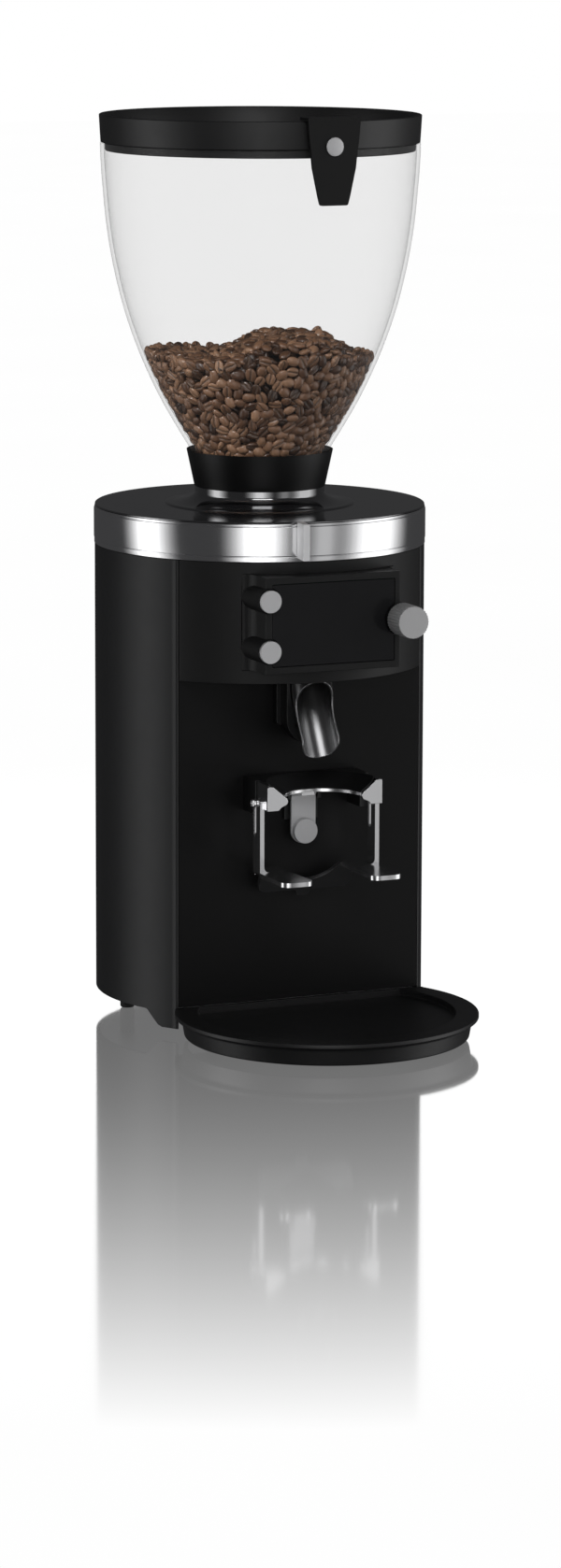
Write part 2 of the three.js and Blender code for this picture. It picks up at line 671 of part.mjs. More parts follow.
// Clip that hooks over the lid's rim and hangs down outside the hopper.
function lidClip() {
  const faceY = -121;
  const face = [
    [-20.4, 654.9], [-19.2, 640], [-17.6, 628], [-16.7, 619.5], [-14.6, 610], [-12.4, 600], [-11, 594.6],
    [-9.6, 593.2], [9.6, 593.2], [11, 594.6], [12.4, 600], [14.6, 610], [16.7, 619.5], [17.6, 628],
    [19.2, 640], [20.4, 654.9],
  ];
  const plate = prismY(face, faceY, faceY + 2.4);
  const hook = block(20.4, faceY + 2, -108, 652, 654.9);
  const post = join(block(16, faceY + 2, -116.2, 634, 652.4), block(18, -110.6, -108, 648, 652.4));
  const solid = join(plate, hook, post);
  const clear = join(drum(115.9, 600, LID_TOP_Z + GAP, 48), drum(112.4, 600, LID_TOP_Z + 0.1, 48));
  return cut(solid, clear).rotate([0, 0, 1.8]);
}

function lidBadge() {
  return rodY(6.5, 0, 634, -122.3, -121.3, 32).rotate([0, 0, 1.8]);
}

// ---------- assembly ----------
const parts = [
  ['side_casing', sideCasing(), CASING],
  ['front_panel', frontPanel(), PANEL],
  ['head_cover', headCover(), MOULDING],
  ['base_plate', basePlate(), STEEL],
  ['setting_ring', settingRing(), CHROME],
  ['setting_pointer', settingPointer(), SATIN_STEEL],
  ['top_cap', topCap(), DARK_MIRROR],
  ['display_glass', displayGlass(), SCREEN],
  ['display_board', displayBoard(), BOARD],
  ['button_upper', button(BUTTON_Z[0]), SATIN_STEEL],
  ['button_lower', button(BUTTON_Z[1]), SATIN_STEEL],
  ['knob_spindle', knobSpindle(), STEEL],
  ['knob', knob(), SATIN_STEEL],
  ['control_board', controlBoard(), BOARD],
  ['power_inlet', powerInlet(), MOULDING],
  ['switch_frame', switchFrame(), MOULDING],
  ['power_rocker', powerRocker(), MOULDING],
  ['outlet_chute', outletChute(), MOULDING],
  ['spout', spout(), CHROME],
  ['spout_plate', spoutPlate(), MOULDING],
  ['spout_clamp', spoutClamp(), MOULDING],
  ['holder_block', holderBlock(), MOULDING],
  ['upper_fork', upperFork(), CHROME],
  ['trigger_bracket', triggerBracket(), STEEL],
  ['trigger_lever', triggerLever(), SATIN_STEEL],
  ['trigger_disc', triggerDisc(), SATIN_STEEL],
  ['trigger_switch', triggerSwitch(), MOULDING],
  ['lower_fork', lowerFork(), CHROME],
  ['clamp_screw_left', clampScrew(-1), CHROME],
  ['clamp_screw_right', clampScrew(1), CHROME],
  ['tray', tray(), MOULDING],
  ['chassis', chassis(), STEEL],
  ['motor_can', motorCan(), CAST],
  ['stator', stator(), COPPER],
  ['motor_cap', motorCap(), CAST],
  ['bearing_lower', bearing(114.3), STEEL],
  ['bearing_upper', bearing(244), STEEL],
  ['motor_shaft', motorShaft(), STEEL],
  ['rotor', rotor(), CAST],
  ['cooling_fan', coolingFan(), FAN_PLASTIC],
  ['burr_chamber', burrChamber(), CAST],
  ['lower_carrier', lowerCarrier(), CAST],
  ['lower_burr', burr(282, 290.3, 24, true), BURR_STEEL],
  ['upper_burr', burr(291, 299.3, 27, false), BURR_STEEL],
  ['upper_carrier', upperCarrier(), CAST],
  ['hopper_shell', hopperShell(), CLEAR],
  ['hopper_collar', hopperCollar(), MOULDING],
  ['gate', gate(), MOULDING],
  ['bean_fill', beanFill(), BEAN],
  ['lid', lid(), MOULDING],
  ['lid_clip', lidClip(), MOULDING],
  ['lid_badge', lidBadge(), SATIN_STEEL],
];

parts.forEach(([name, solid, material]) => addPart(name, solid, material));
FEET.forEach((place, i) => addPart(`foot_${i + 1}`, foot(place), RUBBER));

export default group;
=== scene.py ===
import json
import math

import bmesh
import bpy
import numpy as np
from mathutils import Matrix, Vector


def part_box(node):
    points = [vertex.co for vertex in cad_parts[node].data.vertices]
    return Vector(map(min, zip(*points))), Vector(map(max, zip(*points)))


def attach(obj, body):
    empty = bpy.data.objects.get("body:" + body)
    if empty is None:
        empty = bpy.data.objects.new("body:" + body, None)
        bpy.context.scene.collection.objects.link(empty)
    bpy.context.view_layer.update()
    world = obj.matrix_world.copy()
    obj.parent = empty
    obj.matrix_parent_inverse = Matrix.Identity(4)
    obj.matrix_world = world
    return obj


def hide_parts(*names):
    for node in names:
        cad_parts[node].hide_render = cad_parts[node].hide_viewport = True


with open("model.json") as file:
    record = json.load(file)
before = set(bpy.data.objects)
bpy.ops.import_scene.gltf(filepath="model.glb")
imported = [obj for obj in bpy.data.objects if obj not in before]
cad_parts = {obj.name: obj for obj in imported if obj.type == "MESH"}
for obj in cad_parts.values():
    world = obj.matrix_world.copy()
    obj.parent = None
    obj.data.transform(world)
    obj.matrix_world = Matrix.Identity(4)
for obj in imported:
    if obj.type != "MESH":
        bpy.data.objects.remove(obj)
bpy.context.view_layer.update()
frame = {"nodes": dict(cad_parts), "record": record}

# Shapes are in millimetres until a piece is made; camera, floor and lights are in metres.
# The origin is on the axis of the body at floor level.
MM = 0.001


def low_corner(node):
    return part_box(node)[0] / MM


def high_corner(node):
    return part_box(node)[1] / MM


def new_object(name, data):
    item = bpy.data.objects.new(name, data)
    bpy.context.scene.collection.objects.link(item)
    return item


# ---------- dimensions read from the frame ----------
BODY_R = high_corner("side_casing").x
RING_R = high_corner("setting_ring").x
CASE_TOP = high_corner("side_casing").z
SKIRT_Z = low_corner("side_casing").z
PANEL_Y = low_corner("front_panel").y
PANEL_FACE = PANEL_Y - 0.3
PANEL_HALF = high_corner("front_panel").x + 0.3
HEAD_Z = low_corner("head_cover").z
CAP_Z = 372.3
NECK_R = 46.9
COLLAR_Z = low_corner("hopper_collar").z + 6
COLLAR_TOP = high_corner("hopper_collar").z
HOPPER_TOP = high_corner("hopper_shell").z
LID_TOP = high_corner("lid").z
BUTTON_X = -50.0
BUTTON_ZS = (319.6, 283.8)
KNOB_X = 52.0
KNOB_Z = 301.7
BOX_Y = -132.0
SPOUT_R = 14.6
SPOUT_FRAME = Matrix.Translation((0, -90.5, 253)) @ Matrix.Rotation(math.radians(-29), 4, "X")
CRADLE_Y = -117.0
CRADLE_R = 28.5
CRADLE_Z = 173.2
BLOCK_TOP = high_corner("holder_block").z
ARM_X = high_corner("lower_fork").x
FORK_SHEET = 3.2
APRON_TILT = 28.5
APRON_TOP_Y = -92.07
SCREW_Y = -99.8
SCREW_Z = 170.3
PRONG_TOP = 121.4
PRONG_Z = PRONG_TOP - FORK_SHEET
PIVOT_Y = -79.4
PIVOT_Z = 172.0
DISC_Z = 144.3
TRAY_Y = -122.8
TRAY_R = high_corner("tray").x
TRAY_TOP = high_corner("tray").z
HOPPER_WALL = 2.6
FEET = ((-92, 30), (92, 30), (-60, -56), (60, -56), (0, 92), (0, 0))


# ---------- camera ----------
def make_camera():
    data = bpy.data.cameras.new("camera")
    data.lens = 119.65
    data.sensor_width = 36
    data.sensor_fit = "AUTO"
    data.clip_end = 50
    camera = new_object("camera", data)
    turn = Matrix.Rotation(math.radians(-23.66), 4, "Z")
    tip = Matrix.Rotation(math.radians(90 - 10.13), 4, "X")
    roll = Matrix.Rotation(math.radians(0.17), 4, "Z")
    place = Matrix.Translation((-1.490955, -3.442097, 0.8349))
    camera.matrix_world = place @ turn @ tip @ roll
    bpy.context.scene.camera = camera


# ---------- shader kit ----------
class Value:
    """One output of a shader node, or the sum, product and so on of several."""

    def __init__(self, paint, socket):
        self.paint = paint
        self.socket = socket

    def math(self, operation, first, second):
        return self.paint.node("Math", {"operation": operation}, {0: first, 1: second})

    def __add__(self, other):
        return self.math("ADD", self, other)

    def __radd__(self, other):
        return self.math("ADD", other, self)

    def __rsub__(self, other):
        return self.math("SUBTRACT", other, self)

    def __mul__(self, other):
        return self.math("MULTIPLY", self, other)

    def __rmul__(self, other):
        return self.math("MULTIPLY", other, self)

    def __truediv__(self, other):
        return self.math("DIVIDE", self, other)

    def __pow__(self, other):
        return self.math("POWER", self, other)


class Paint:
    """A procedural material and the one method that adds its nodes."""

    def __init__(self, name):
        self.material = bpy.data.materials.new(name)
        self.material.use_nodes = True
        self.tree = self.material.node_tree
        self.tree.nodes.clear()
        self.place = self.node("TexCoord", out="Object")

    def feed(self, socket, value):
        if isinstance(value, Value):
            self.tree.links.new(value.socket, socket)
        elif isinstance(value, (tuple, list)) and len(value) == 3 and socket.type == "RGBA":
            socket.default_value = (*value, 1.0)
        else:
            socket.default_value = value

    def node(self, kind, settings=None, inputs=None, out=0):
        item = self.tree.nodes.new("ShaderNode" + kind)
        for key, value in (settings or {}).items():
            if key == "stops":
                ramp = item.color_ramp
                while len(ramp.elements) < len(value):
                    ramp.elements.new(0.5)
                for element, (position, colour) in zip(ramp.elements, value):
                    element.position = position
                    element.color = (*colour, 1.0)
            else:
                setattr(item, key, value)
        for key, value in (inputs or {}).items():
            self.feed(item.inputs[key], value)
        return Value(self, item.outputs[out]) if len(item.outputs) else None

    def noise(self, size_mm, detail, place=None):
        """Noise from 0 to 1 whose blobs are about size_mm across."""
        scale = 1.0 / (size_mm * MM)
        return self.node("TexNoise", {}, {"Vector": place or self.place, "Scale": scale, "Detail": detail})

    def squeezed(self, streaks):
        """The object's coordinates with each axis scaled, so that a pattern on them runs in streaks."""
        return self.node("VectorMath", {"operation": "MULTIPLY"}, {0: self.place, 1: streaks})

    def mix(self, share, first, second):
        """Colour that goes from first to second."""
        settings = {"data_type": "RGBA", "clamp_factor": True}
        item = self.node("Mix", settings, {0: share}, out=2)
        self.feed(item.socket.node.inputs[6], first)
        self.feed(item.socket.node.inputs[7], second)
        return item

    def bump(self, height, depth_mm):
        return self.node("Bump", {}, {"Height": height, "Distance": depth_mm * MM, "Strength": 1.0})

    def surface(self, shader):
        self.node("OutputMaterial", {}, {"Surface": shader})
        return self.material

    def finish(self, **sockets):
        """Ends the material in one Principled shader; a socket's name has _ for each space."""
        inputs = {key.replace("_", " "): value for key, value in sockets.items()}
        return self.surface(self.node("BsdfPrincipled", {}, inputs))


def shades(colour, spread):
    darker = tuple(c * (1 - spread) for c in colour)
    lighter = tuple(c * (1 + spread) for c in colour)
    return darker, lighter


# ---------- finishes ----------
def moulded(name, colour, roughness, grain_mm, grain_depth, spread, specular=0.5):
    """Moulded or painted surface with a fine even grain."""
    paint = Paint(name)
    cloud = paint.noise(38, 3)
    grain = paint.noise(grain_mm, 2)
    wear = paint.noise(11, 4)
    return paint.finish(
        Base_Color=paint.mix(cloud, *shades(colour, spread)),
        Roughness=roughness - 0.05 + 0.07 * wear + 0.05 * grain,
        Specular_IOR_Level=specular,
        Normal=paint.bump(grain, grain_depth),
    )


def polished(name, colour, roughness, streaks, depth=0.0015):
    """Bright metal with very faint polishing lines."""
    paint = Paint(name)
    lines = paint.noise(0.9, 3, paint.squeezed(streaks))
    haze = paint.noise(24, 4)
    return paint.finish(
        Base_Color=paint.mix(haze, *shades(colour, 0.03)),
        Metallic=1.0,
        Roughness=roughness + 0.05 * haze * lines,
        Normal=paint.bump(lines, depth),
    )


def brushed(name, colour, roughness, streaks, depth=0.01, metallic=1.0):
    """Satin metal with directional grain."""
    paint = Paint(name)
    lines = paint.noise(0.35, 2, paint.squeezed(streaks))
    haze = paint.noise(16, 3)
    return paint.finish(
        Base_Color=paint.mix(lines, *shades(colour, 0.05)),
        Metallic=metallic,
        Roughness=roughness - 0.05 + 0.06 * haze + 0.06 * lines,
        Normal=paint.bump(lines, depth),
    )


def cast_metal(name, colour):
    paint = Paint(name)
    pits = paint.noise(1.6, 5)
    cloud = paint.noise(20, 3)
    return paint.finish(
        Base_Color=paint.mix(cloud, *shades(colour, 0.15)),
        Metallic=0.85,
        Roughness=0.5 + 0.15 * pits,
        Normal=paint.bump(pits, 0.12),
    )


def clear_plastic():
    """Thin clear wall: see-through, faintly grey, and glossier towards its edges."""
    paint = Paint("clear_hopper_plastic")
    ripple = paint.noise(60, 2)
    normal = paint.bump(ripple, 0.02)
    edge = paint.node("LayerWeight", {}, {"Blend": 0.22}, out="Facing")
    see = paint.node("BsdfTransparent", {}, {"Color": (0.965, 0.965, 0.965)})
    gloss = paint.node(
        "BsdfPrincipled",
        {},
        {
            "Base Color": paint.mix(ripple, (0.80, 0.80, 0.80), (0.86, 0.86, 0.86)),
            "Roughness": 0.05 + 0.03 * ripple,
            "Normal": normal,
            "IOR": 1.49,
        },
    )
    share = 0.015 + 0.75 * edge ** 3.0
    return paint.surface(paint.node("MixShader", {}, {0: share, 1: see, 2: gloss}))


def display_glass_black():
    paint = Paint("black_display_glass")
    smudge = paint.noise(26, 4)
    dust = paint.noise(1.2, 1)
    return paint.finish(
        Base_Color=paint.mix(smudge, (0.006, 0.006, 0.007), (0.010, 0.010, 0.011)),
        Roughness=0.16 + 0.06 * smudge + 0.02 * dust,
        Specular_IOR_Level=0.14,
        Coat_Weight=0.06,
        Coat_Roughness=0.05,
    )


def roasted_bean():
    """Colour runs from bean to bean, and the crease is paler chaff over a near-black groove of painted shade.
    """
    paint = Paint("roasted_bean")
    # This attribute holds each bean's random tone, scaled down as painted shade for the beans of the hidden
    # layers.
    tone = paint.node("Attribute", {"attribute_name": "tone"}, out="Fac")
    crease = paint.node("Attribute", {"attribute_name": "crease"}, out="Fac")
    chaff = paint.noise(0.9, 3)
    mottle = paint.noise(2.6, 4)
    stops = [
        (0.0, (0.012, 0.006, 0.004)), (0.25, (0.085, 0.040, 0.021)),
        (0.55, (0.19, 0.098, 0.054)), (1.0, (0.33, 0.185, 0.108)),
    ]
    body = paint.node("ValToRGB", {"stops": stops}, {0: tone * 0.75 + 0.1 * mottle + 0.2 * tone ** 0.3})
    # Crease colour: the pale chaff is the bean's own, and the near black where the chaff noise is low is
    # painted shade in the groove.
    chaff_over_groove_shade = paint.mix(chaff * 1.2, (0.010, 0.005, 0.003), (0.15, 0.09, 0.055))
    return paint.finish(
        Base_Color=paint.mix(crease, body, chaff_over_groove_shade),
        Roughness=0.24 + 0.12 * mottle + 0.2 * crease,
        Specular_IOR_Level=0.6,
        Normal=paint.bump(mottle + 0.5 * chaff, 0.12),
    )


def circuit_green():
    paint = Paint("circuit_board")
    tracks = paint.node("TexVoronoi", {"distance": "MANHATTAN"}, {"Vector": paint.place, "Scale": 260.0})
    return paint.finish(
        Base_Color=paint.mix(tracks, (0.012, 0.075, 0.035), (0.02, 0.12, 0.06)),
        Roughness=0.4 + 0.2 * tracks,
    )


def copper_winding():
    paint = Paint("copper_winding")
    inputs = {"Vector": paint.place, "Scale": 300.0, "Distortion": 0.6}
    turns = paint.node("TexWave", {"bands_direction": "Z"}, inputs)
    return paint.finish(
        Base_Color=paint.mix(turns, (0.25, 0.09, 0.035), (0.50, 0.20, 0.08)),
        Metallic=0.8,
        Roughness=0.35 + 0.15 * turns,
        Normal=paint.bump(turns, 0.2),
    )


def make_finishes():
    turned = (0.02, 0.02, 1.0)
    upright = (1.0, 1.0, 0.03)
    return {
        "casing": moulded("casing_satin_paint", (0.0115, 0.0118, 0.0125), 0.42, 0.6, 0.018, 0.08, 0.32),
        "panel": moulded("panel_satin_black", (0.003, 0.003, 0.0032), 0.48, 0.6, 0.02, 0.1, 0.2),
        "moulding": moulded("head_moulding_black", (0.0055, 0.0056, 0.0058), 0.5, 0.7, 0.05, 0.12, 0.3),
        "lid": moulded("lid_satin_black", (0.006, 0.006, 0.0065), 0.45, 0.8, 0.02, 0.1),
        "tray": moulded("tray_grained_black", (0.006, 0.006, 0.0065), 0.42, 0.7, 0.05, 0.12),
        "block": moulded("holder_satin_black", (0.005, 0.005, 0.0055), 0.42, 0.7, 0.03, 0.12),
        "gloss_black": moulded("collar_black", (0.0022, 0.0022, 0.0024), 0.4, 0.8, 0.01, 0.08, 0.3),
        "rubber": moulded("foot_rubber", (0.012, 0.012, 0.012), 0.8, 0.5, 0.08, 0.2),
        "chrome": polished("polished_band_chrome", (0.80, 0.80, 0.81), 0.12, turned),
        "fork_chrome": polished("holder_chrome", (0.78, 0.78, 0.79), 0.2, upright, 0.001),
        "spout_chrome": polished("spout_chrome", (0.34, 0.34, 0.345), 0.28, (1.0, 0.6, 0.05), 0.001),
        "dark_mirror": polished("smoked_cap_mirror", (0.30, 0.30, 0.305), 0.09, (0.4, 0.4, 0.4), 0.0008),
        "satin": brushed("satin_button_metal", (0.62, 0.62, 0.63), 0.5, (1.0, 1.0, 0.4), 0.003, 0.3),
        "pointer": brushed("pointer_metal", (0.88, 0.88, 0.89), 0.42, (1.0, 1.0, 0.4), 0.003, 0.4),
        "knob": brushed("knob_satin_metal", (0.54, 0.54, 0.545), 0.46, (1.0, 1.0, 0.4), 0.003, 0.4),
        "lever": brushed("lever_satin_metal", (0.56, 0.56, 0.57), 0.44, upright, 0.003, 0.4),
        "steel": brushed("plain_steel", (0.42, 0.43, 0.44), 0.38, turned),
        "burr_steel": brushed("ground_burr_steel", (0.50, 0.51, 0.52), 0.3, (1.0, 0.2, 1.0)),
        "cast": cast_metal("cast_alloy", (0.30, 0.31, 0.32)),
        "winding": copper_winding(),
        "board": circuit_green(),
        "clear": clear_plastic(),
        "screen": display_glass_black(),
        "bean": roasted_bean(),
    }


# ---------- shape tools ----------
def solid(vertices, faces):
    """Closed mesh with its faces turned outwards."""
    mesh = bpy.data.meshes.new("solid")
    mesh.from_pydata([tuple(v) for v in vertices], [], faces)
    work = bmesh.new()
    work.from_mesh(mesh)
    bmesh.ops.recalc_face_normals(work, faces=work.faces)
    work.to_mesh(mesh)
    work.free()
    return mesh


def lathe(profile, segments=192):
    """Body of revolution about Z from (radius, z) points.

    A profile that leaves the axis out is closed on itself.
    """
    vertices = []
    rings = []
    for radius, z in profile:
        if radius == 0:
            rings.append([len(vertices)] * segments)
            vertices.append((0, 0, z))
            continue
        rings.append(list(range(len(vertices), len(vertices) + segments)))
        for k in range(segments):
            angle = 2 * math.pi * k / segments
            vertices.append((radius * math.cos(angle), radius * math.sin(angle), z))
    pairs = list(zip(rings, rings[1:]))
    if profile[0][0] != 0 and profile[-1][0] != 0:
        pairs.append((rings[-1], rings[0]))
    faces = []
    for low, high in pairs:
        for k in range(segments):
            after = (k + 1) % segments
            face = list(dict.fromkeys([low[k], low[after], high[after], high[k]]))
            if len(face) > 2:
                faces.append(face)
    return solid(vertices, faces)


def prism(outline, start, end, along="Z"):
    """Straight prism from an outline of (x, y) points along Z, (y, z) along X or (x, z) along Y."""
    spot = {
        "Z": lambda p, q, s: (p, q, s),
        "X": lambda p, q, s: (s, p, q),
        "Y": lambda p, q, s: (p, s, q),
    }[along]
    count = len(outline)
    vertices = [spot(p, q, s) for s in (start, end) for p, q in outline]
    faces = [list(range(count)), list(range(count, 2 * count))]
    for k in range(count):
        after = (k + 1) % count
        faces.append([k, after, count + after, count + k])
    return solid(vertices, faces)


def rect(x0, x1, y0, y1):
    return [(x0, y0), (x1, y0), (x1, y1), (x0, y1)]


def box(x0, x1, y0, y1, z0, z1):
    return prism(rect(x0, x1, y0, y1), z0, z1)


def block(half, y0, y1, z0, z1):
    return box(-half, half, y0, y1, z0, z1)


def side_box(side, near, far, y0, y1, z0, z1):
    """Box from near to far of the middle, on the side of +X (1) or -X (-1)."""
    low, high = sorted((side * near, side * far))
    return box(low, high, y0, y1, z0, z1)


def placed(mesh, matrix):
    mesh.transform(matrix)
    return mesh


def drum(radius, z0, z1, segments=192):
    return lathe([(0, z0), (radius, z0), (radius, z1), (0, z1)], segments)


def tube(outer, inner, z0, z1, segments):
    return lathe([(inner, z0), (outer, z0), (outer, z1), (inner, z1)], segments)


def turned_y(profile, x, z, segments=96):
    """Lathe about a line along Y through (x, z); profile points are (radius, y)."""
    turn = Matrix.Translation((x, 0, z)) @ Matrix.Rotation(-math.pi / 2, 4, "X")
    return placed(lathe(profile, segments), turn)


def turned_x(profile, y, z):
    turn = Matrix.Translation((0, y, z)) @ Matrix.Rotation(math.pi / 2, 4, "Y")
    return placed(lathe(profile, 64), turn)


def rod_y(radius, x, z, y0, y1, segments=96):
    return turned_y([(0, y0), (radius, y0), (radius, y1), (0, y1)], x, z, segments)


def rod_x(radius, y, z, x0, x1):
    return turned_x([(0, x0), (radius, x0), (radius, x1), (0, x1)], y, z)


def arc(radius, start, end, steps, cx=0.0, cy=0.0):
    """Points of an arc; angle 0 is the front (-Y) and grows towards +X."""
    points = []
    for i in range(steps + 1):
        angle = math.radians(start + (end - start) * i / steps)
        points.append((cx + radius * math.sin(angle), cy - radius * math.cos(angle)))
    return points


def front_angle(x, radius):
    return math.degrees(math.asin(x / radius))


def rounded(outline, radius, steps=5, closed=True, sharpest=20):
    """The outline with each real corner rounded."""
    points = [Vector(p) for p in outline]
    count = len(points)
    result = []
    for i, corner in enumerate(points):
        if not closed and i in (0, count - 1):
            result.append(tuple(corner))
            continue
        back = points[i - 1] - corner
        ahead = points[(i + 1) % count] - corner
        turn = math.degrees(back.angle(-ahead)) if back.length and ahead.length else 0
        if turn < sharpest:
            result.append(tuple(corner))
            continue
        reach = min(radius, back.length * 0.45, ahead.length * 0.45)
        first = corner + back.normalized() * reach
        last = corner + ahead.normalized() * reach
        for k in range(steps + 1):
            s = k / steps
            point = first * (1 - s) ** 2 + corner * 2 * s * (1 - s) + last * s * s
            result.append(tuple(point))
    return result


def combined(operation, base, tools):
    """Boolean of closed meshes; the inputs are used up."""
    body = new_object("base", base)
    others = []
    for tool in tools:
        other = new_object("tool", tool)
        others.append(other)
        modifier = body.modifiers.new("step", "BOOLEAN")
        modifier.operation = operation
        modifier.solver = "EXACT"
        modifier.object = other
    graph = bpy.context.evaluated_depsgraph_get()
    result = bpy.data.meshes.new_from_object(body.evaluated_get(graph))
    for item in [body, *others]:
        data = item.data
        bpy.data.objects.remove(item)
        bpy.data.meshes.remove(data)
    return result


def join(base, *tools):
    return combined("UNION", base, tools)


def cut(base, *tools):
    return combined("DIFFERENCE", base, tools)


def common(base, tool):
    return combined("INTERSECT", base, [tool])


def mirrored(outline):
    return [(-x, z) for x, z in outline]


FINISHES = make_finishes()
SLOT_OF_FINISH = {
    **dict.fromkeys(("lid", "gloss_black", "tray", "block"), "moulding"),
    **dict.fromkeys(("fork_chrome", "spout_chrome"), "chrome"),
    **dict.fromkeys(("satin", "knob", "pointer", "lever"), "satin_steel"),
}
FINISH_OF_SLOT = {"satin_steel": "satin"}


def soften(piece, width, smallest_angle, clamp):
    """Bevels the edges; clamp keeps the bevel from crossing short edges beside it."""
    bevel = piece.modifiers.new("softened_edges", "BEVEL")
    bevel.width = width * MM
    bevel.segments = 2
    bevel.limit_method = "ANGLE"
    bevel.angle_limit = math.radians(smallest_angle)
    bevel.use_clamp_overlap = clamp
    return bevel


def add_piece(name, mesh, finish, body, nodes, edge, smallest_angle=38, clamp=False):
    """Makes a mesh in millimetres into a finished piece whose edges are softened by edge."""
    work = bmesh.new()
    work.from_mesh(mesh)
    bmesh.ops.remove_doubles(work, verts=work.verts, dist=0.002)
    bmesh.ops.dissolve_degenerate(work, edges=work.edges, dist=0.001)
    bmesh.ops.dissolve_limit(
        work, angle_limit=math.radians(0.3), verts=work.verts, edges=work.edges, delimit={"NORMAL"}
    )
    bmesh.ops.recalc_face_normals(work, faces=work.faces)
    for face in work.faces:
        face.smooth = True
    bmesh.ops.scale(work, vec=(MM, MM, MM), verts=work.verts)
    work.to_mesh(mesh)
    work.free()
    mesh.name = name
    if not edge:
        mesh.set_sharp_from_angle(angle=math.radians(smallest_angle))
    mesh.materials.clear()
    mesh.materials.append(FINISHES[finish])
    piece = new_object(name, mesh)
    if edge:
        bevel = soften(piece, edge, smallest_angle, clamp)
        bevel.harden_normals = True
        bevel.miter_outer = "MITER_ARC"
    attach(piece, body)
    if nodes:
        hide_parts(*nodes)


def skin(node, mesh, finish, body="body", edge=0.3, **options):
    """The piece that stands for one node of the frame."""
    add_piece(f"{node}_skin", mesh, finish, body, [node], edge, **options)


# ---------- outer body ----------
def side_casing():
    inner = BODY_R - 2
    edge = front_angle(PANEL_HALF + 2.35, BODY_R)
    lip = front_angle(PANEL_HALF, inner)
    fold = [(PANEL_HALF, PANEL_Y), (PANEL_HALF + 1.1, PANEL_Y + 0.35), (PANEL_HALF + 1.9, PANEL_Y + 1.3)]
    section = arc(BODY_R, edge, 360 - edge, 220)
    section += mirrored(fold[::-1])
    section += arc(inner, 360 - lip, lip, 220)
    section += fold
    shell = prism(section, SKIRT_Z, CASE_TOP)
    raised = [
        (-49.6, 15.5), (-48.2, 16.3), (130, 16.3), (130, 0), (-62, 0), (-61, 4.9), (-58.6, 5.8), (-57.2, 7.2),
    ]
    rear_wall = (95, 125)
    vent_rows, vent_pitch, vent_height = 6, 9, 3
    vents = []
    for row in range(vent_rows):
        for lowest in (186, 88):
            low = lowest + vent_pitch * row
            slot = rounded(rect(-34, 34, low, low + vent_height), 1.4)
            vents.append(prism(slot, *rear_wall, "Y"))
    ports = [box(-32.4, -3.6, *rear_wall, 37.6, 62.4), box(10.6, 31.4, *rear_wall, 39.6, 60.4)]
    return cut(shell, prism(raised, -130, 130, "X"), *ports, *vents)


def front_panel():
    half = PANEL_HALF - 0.3
    plate = block(half, PANEL_Y, PANEL_Y + 1.8, TRAY_TOP + 0.4, HEAD_Z - 0.3)
    return cut(plate, block(19, -76, -70, 246, 260), rod_y(2.2, 0, DISC_Z, -76, -70))


def display_box_plan():
    fillet = [(59, -104.9), (57, -105.9), (55.2, -107.4), (53.8, -109.4)]
    fillet += [(52.8, -111.9), (52.2, -114.6), (52, -117.4)]
    left = [(-50, -98)] + mirrored(fillet)
    right = fillet[::-1] + [(50, -98)]
    front = rounded([(-52, -125), (-52, BOX_Y), (52, BOX_Y), (52, -125)], 1.6, closed=False)
    return left + front + right


def spout_rod(radius, low, high):
    return placed(drum(radius, low, high, 96), SPOUT_FRAME)


def head_cover():
    half = PANEL_HALF - 0.35
    outer_edge = front_angle(half, BODY_R)
    inner_r = BODY_R - 2.2
    inner_edge = front_angle(half, inner_r)
    front = arc(BODY_R, -outer_edge, outer_edge, 140)
    shell = prism(front + arc(inner_r, inner_edge, -inner_edge, 140), HEAD_Z, CASE_TOP)
    floor = prism(front + [(half, -70.6), (-half, -70.6)], HEAD_Z, HEAD_Z + 2.2)
    display_box = cut(prism(display_box_plan(), 267.3, 335.8), drum(inner_r, HEAD_Z, CASE_TOP))
    hollow = block(49.5, BOX_Y + 2.5, -90, 269.8, 333.3)
    window = prism(rounded(rect(-47.2, 47.2, 272.3, 330.9), 0.8), BOX_Y - 1, BOX_Y + 4, "Y")
    barrels = [rod_y(8.9, BUTTON_X, z, BOX_Y - 2.5, -100) for z in BUTTON_ZS]
    # 90 sides, so that the plane of the box's side passes between two corners of the barrel.
    barrels.append(rod_y(11.2, KNOB_X, KNOB_Z, BOX_Y - 0.6, -100, 90))
    bores = []
    for z in BUTTON_ZS:
        bores.append(rod_y(8.3, BUTTON_X, z, BOX_Y - 4, -127.6))
        bores.append(rod_y(3.3, BUTTON_X, z, BOX_Y - 4, -90, 48))
    bores.append(rod_y(3.4, KNOB_X, KNOB_Z, BOX_Y - 4, -90, 48))
    body = cut(join(shell, floor, display_box), hollow, window)
    return cut(join(body, *barrels), *bores, spout_rod(SPOUT_R + 0.6, -30, 30))


def setting_ring():
    profile = [
        (119.7, 344), (119.7, 347.4), (119.3, 347.7), (RING_R, 348.15), (RING_R, 368.75),
        (119.3, 369.2), (119.6, 369.5), (119.4, 370.9), (116, 370.9), (116, 350),
        (56.4, 350), (56.4, 322), (61, 322), (61, 346.4), (114, 346.4), (114, 344),
    ]
    return lathe(rounded(profile, 0.3, 3), 288)


def setting_pointer():
    rib = rounded(rect(-2.35, 2.35, -139, -120.3), 0.5)
    return placed(prism(rib, 347, 372.9), Matrix.Rotation(math.radians(-9.7), 4, "Z"))


